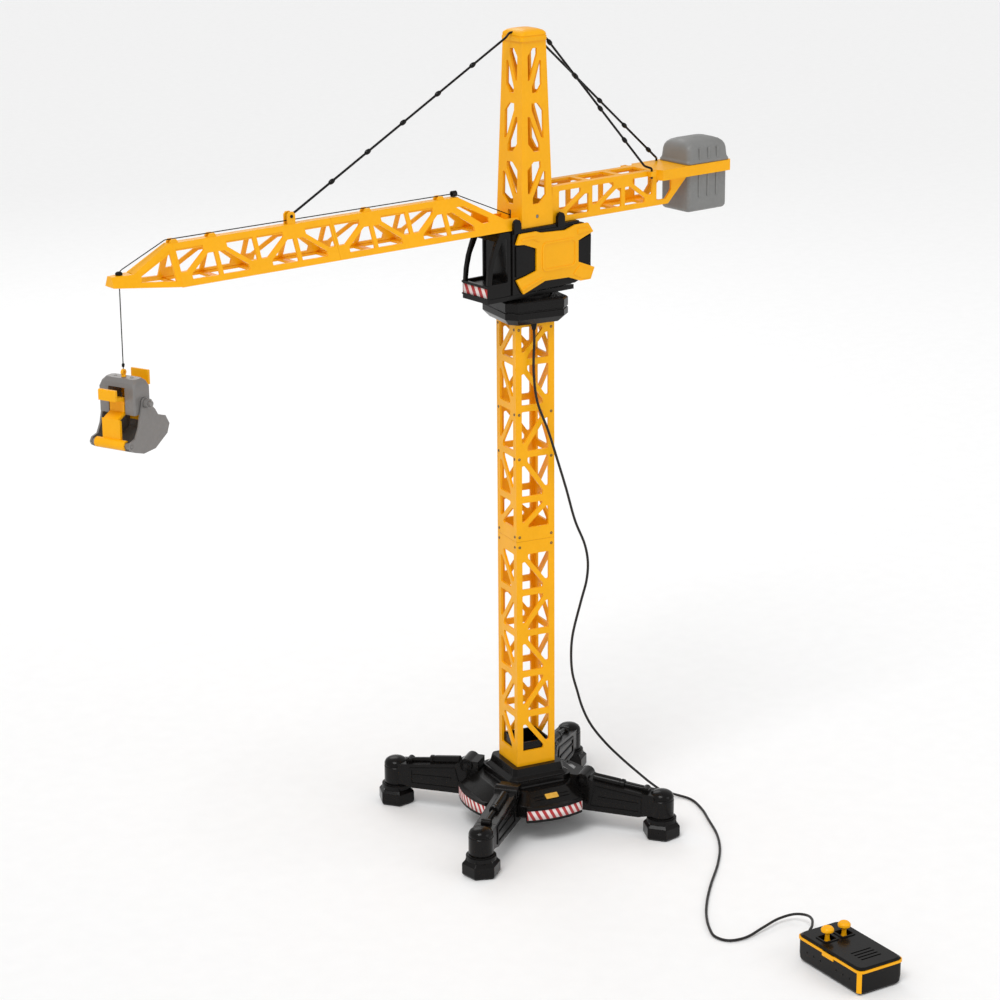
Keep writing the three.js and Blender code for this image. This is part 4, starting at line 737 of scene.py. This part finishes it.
box = weight_loft([(27.5, 20.5, 3, 752), (29.8, 22.8, 3.6, 752.6), (31.3, 24.3, 4.2, 754), (32.2, 25.2, 4.6, 756),
                   (32.5, 25.5, 5, 759), (32.5, 25.5, 5, 811), (32, 25, 4.6, 811.9)])
show("counterweight_box_fine", put([box, *weight_ribs(25.5, 770, 798)], SLEWING), NODE_BODY["counterweight_box"],
     [GREY], ["counterweight_box"])
lid = weight_loft([(34.6, 27.6, 5.5, 812.3), (35, 28, 6, 812.8), (35, 28, 6, 814.6), (34.2, 27.2, 6, 815.8),
                   (33.4, 26.4, 6, 818), (32.6, 25.6, 6.5, 828), (31.8, 24.8, 7, 832), (30, 23, 8, 835.6),
                   (27, 20, 9, 838.2), (22, 15, 8, 840), (12, 7, 5, 841.4), (4, 2, 1.5, 842)])
show("counterweight_lid_fine", put([lid, *weight_ribs(26.2, 817, 831)], SLEWING), NODE_BODY["counterweight_lid"],
     [GREY], ["counterweight_lid"])

# ---------------------------------------------------------------- strings and stays

STRING_RADIUS = 0.6
STRING_X = -560
GUIDE_X = -106.5
RUN_Z = 817.3
DROP_TOP_Z = 772
DROP_LOW_Z = 683.9
DROP_STEPS = 48
STRING_SIDES = 10
STAY_RADIUS = 1.4
TALL_LUG_X = -337.95
HOOK_Z = 822.0
HOOK_RADIUS = 1.6
HOOK_HALF_WIDTH = 5.6


def bead():
    return lathe([(0, -4.4), (1.5, -4.2), (2.3, -3.0), (2.8, -1.2), (2.9, 0), (2.8, 1.2), (2.3, 3.0), (1.5, 4.2),
                  (0, 4.4)], 24)


def filleted(points, reach=2.0, steps=4):
    """Rounds the corners of a path."""
    path = [points[0]]
    for before, corner, after in zip(points, points[1:], points[2:]):
        back = min(reach, (before - corner).length * 0.45)
        forth = min(reach, (after - corner).length * 0.45)
        start = corner + (before - corner).normalized() * back
        stop = corner + (after - corner).normalized() * forth
        for step in range(steps + 1):
            t = step / steps
            path.append(start.lerp(corner, t).lerp(corner.lerp(stop, t), t))
    return path + [points[-1]]


def stay(lead, start, end, tail, shares):
    """A tie cord through its points, with beads at shares of its straight run from start to end."""
    points = [Vector(point) for point in (*lead, start, end, *tail)]
    start, end = Vector(start), Vector(end)
    pieces = [pipe(filleted(points), STAY_RADIUS)]
    pieces += [aimed(bead(), start.lerp(end, share), end - start) for share in shares]
    return pieces


stays = {
    "front_stay": stay([(-16, 0, 996), (-22, 0, 996)], (-27, 0, 991), (TALL_LUG_X + 9, 0, 826),
                       [(TALL_LUG_X, 0, HOOK_Z)], (0.165, 0.333, 0.5, 0.667, 0.835)),
    "rear_stay_left": stay([(15, -9, 990), (21.5, -9, 990)], (26, -9.3, 986), (172, -19.5, 818.5),
                           [(179, -25, 815.5), (179, -25, 803)], (0.03, 0.29, 0.54, 0.79)),
    "rear_stay_right": stay([(15, 9, 990), (21.5, 9, 990)], (26, 9.3, 986), (224, 19.5, 818.5),
                            [(231, 25, 815.5), (231, 25, 803)], (0.31, 0.52, 0.73, 0.94))}
hook = pipe([Vector((TALL_LUG_X, y, HOOK_Z)) for y in (-HOOK_HALF_WIDTH, HOOK_HALF_WIDTH)], HOOK_RADIUS)
stays["front_stay"].append(hook)
for node, pieces in stays.items():
    show(node + "_fine", put(pieces, SLEWING), NODE_BODY[node], [BLACK], [node])

run_points = [(-2.6, 0, 773.3), (-24, 0, 781.8), (GUIDE_X, 0, RUN_Z), (-501, 0, RUN_Z), (-556.5, 0, 792.5),
              (-559.3, 0, 790.2), (STRING_X, 0, 787), (STRING_X, 0, DROP_TOP_Z + 0.3)]
run = pipe(filleted([Vector(point) for point in run_points], 1.2), STRING_RADIUS, STRING_SIDES)
show("hoist_string_run_fine", put([run], SLEWING), NODE_BODY["hoist_string_run"], [TWINE],
     ["hoist_string_run"])

drop_path = [Vector((STRING_X, 0, DROP_TOP_Z + (DROP_LOW_Z - DROP_TOP_Z) * i / DROP_STEPS))
             for i in range(DROP_STEPS + 1)]
drop = linked_object("hoist_string_drop_fine", put([pipe(drop_path, STRING_RADIUS, STRING_SIDES)], SLEWING))
drop.data.materials.append(TWINE)
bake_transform(drop)
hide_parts("hoist_string_drop")
knot = [aimed(lathe([(0, -2.2), (1.2, -1.9), (1.7, -0.9), (1.4, 0), (1.8, 0.9), (1.2, 2.0), (0, 2.4)], 16),
              (0, 0, 12.6), (0.1, 0, 1))]
show("string_knot", put(knot, GRAB), "hanger", [TWINE])

# ---------------------------------------------------------------- grab

# Dark steel discs on the grab's top where its two holes are: painted shade standing in for the holes.
grab_hole_shade_discs = [aimed(lathe([(0, -0.1), (1.3, -0.1), (1.5, 0.15), (2.0, 0.1), (2.0, -0.4), (0, -0.4)], 20),
                    (0, y, 0.05)) for y in (-11, 11)]
show("grab_hole_shade_discs", put(grab_hole_shade_discs, GRAB), "grab", [SCREW])

# ---------------------------------------------------------------- handset

STICK_PROFILE = [(0, 22.8), (3.3, 24.2), (4.7, 27.5), (3.3, 30.8), (2.7, 33), (2.6, 38.4), (3.4, 39.6), (6.9, 41.7),
                 (7.4, 42.4), (7.4, 44.4), (7.0, 45.4), (5.6, 46.9), (4.6, 47.4), (3.4, 46.9), (0, 46.6)]
for node, x in (("stick_left", -12), ("stick_right", 12)):
    knob = aimed(lathe(STICK_PROFILE), (x, 26, 0))
    show(node + "_fine", put([knob], HANDSET), NODE_BODY[node], [YELLOW], [node])

pocket_rims = [rim(round_rectangle(10, 10, 3, x, 26), round_rectangle(7.8, 7.8, 1.6, x, 26), 32.6, 34.0, soft=0.4)
               for x in (-12, 12)]
dots = [aimed(lathe([(0, -0.3), (1.0, -0.3), (1.2, 0.3), (0.6, 0.6), (0, 0.6)], 14), (-31, y, 15), (-1, 0, 0))
        for y in (-38, -26, -14, 14, 26, 38)]
show("handset_rims", put(pocket_rims + dots, HANDSET), "base", [CHARCOAL])
band = [rim(round_rectangle(31.9, 56.9, 7.4), round_rectangle(30.9, 55.9, 6.8), 27.2, 30.2, soft=0.3),
        slab(round_rectangle(0.8, 10, 0.7, -31.6, 0), 24.4, 30.2, soft=0.3),
        slab(round_rectangle(0.8, 10, 0.7, 31.6, 0), 24.4, 30.2, soft=0.3)]
CORNER = (-24.3, -49.3)
STRIPE_TURNS = [math.radians(196 + 5 * i) for i in range(10)]


def corner_arc(radius, turns):
    return [(CORNER[0] + radius * math.cos(a), CORNER[1] + radius * math.sin(a)) for a in turns]


stripe = corner_arc(7.7, STRIPE_TURNS) + corner_arc(6.2, reversed(STRIPE_TURNS))
band.append(slab(stripe, 3.5, 29, soft=0.25))
show("handset_band", put(band, HANDSET), "base", [YELLOW])

# ---------------------------------------------------------------- stage

FLOOR_HALF = 60.0


def add_floor():
    bm = bmesh.new()
    bmesh.ops.create_grid(bm, x_segments=2, y_segments=2, size=FLOOR_HALF)
    mesh = bpy.data.meshes.new("floor")
    bm.to_mesh(mesh)
    bm.free()
    mesh.materials.append(FLOOR)
    floor = bpy.data.objects.new("floor", mesh)
    bpy.context.scene.collection.objects.link(floor)


def add_light(name, position, target, size, power):
    data = bpy.data.lights.new(name, "AREA")
    data.shape = "DISK"
    data.size = size
    data.energy = power
    light = bpy.data.objects.new(name, data)
    light.location = position
    aim = Vector(target) - Vector(position)
    light.rotation_euler = aim.to_track_quat("-Z", "Y").to_euler()
    bpy.context.scene.collection.objects.link(light)


def add_sun(name, height, bearing, softness, strength):
    """A soft far light, standing at a height and a bearing in degrees."""
    data = bpy.data.lights.new(name, "SUN")
    data.angle = math.radians(softness)
    data.energy = strength
    light = bpy.data.objects.new(name, data)
    light.rotation_euler = (math.radians(90 - height), 0, math.radians(bearing))
    bpy.context.scene.collection.objects.link(light)


def add_world(strength):
    world = bpy.data.worlds.new("studio")
    bpy.context.scene.world = world
    world.use_nodes = True
    background = world.node_tree.nodes["Background"]
    background.inputs["Color"].default_value = (1, 1, 1, 1)
    background.inputs["Strength"].default_value = strength


MIDDLE = (0.1, 0.1, 0.5)
add_floor()
add_sun("key", 56, -62, 28, 1.35)
add_light("fill", (1.6, -3.0, 1.6), MIDDLE, 2.0, 14)
add_light("rim", (1.2, 2.8, 2.4), MIDDLE, 1.8, 14)
add_world(0.62)
bpy.context.scene.view_settings.view_transform = "Standard"

bpy.context.view_layer.update()
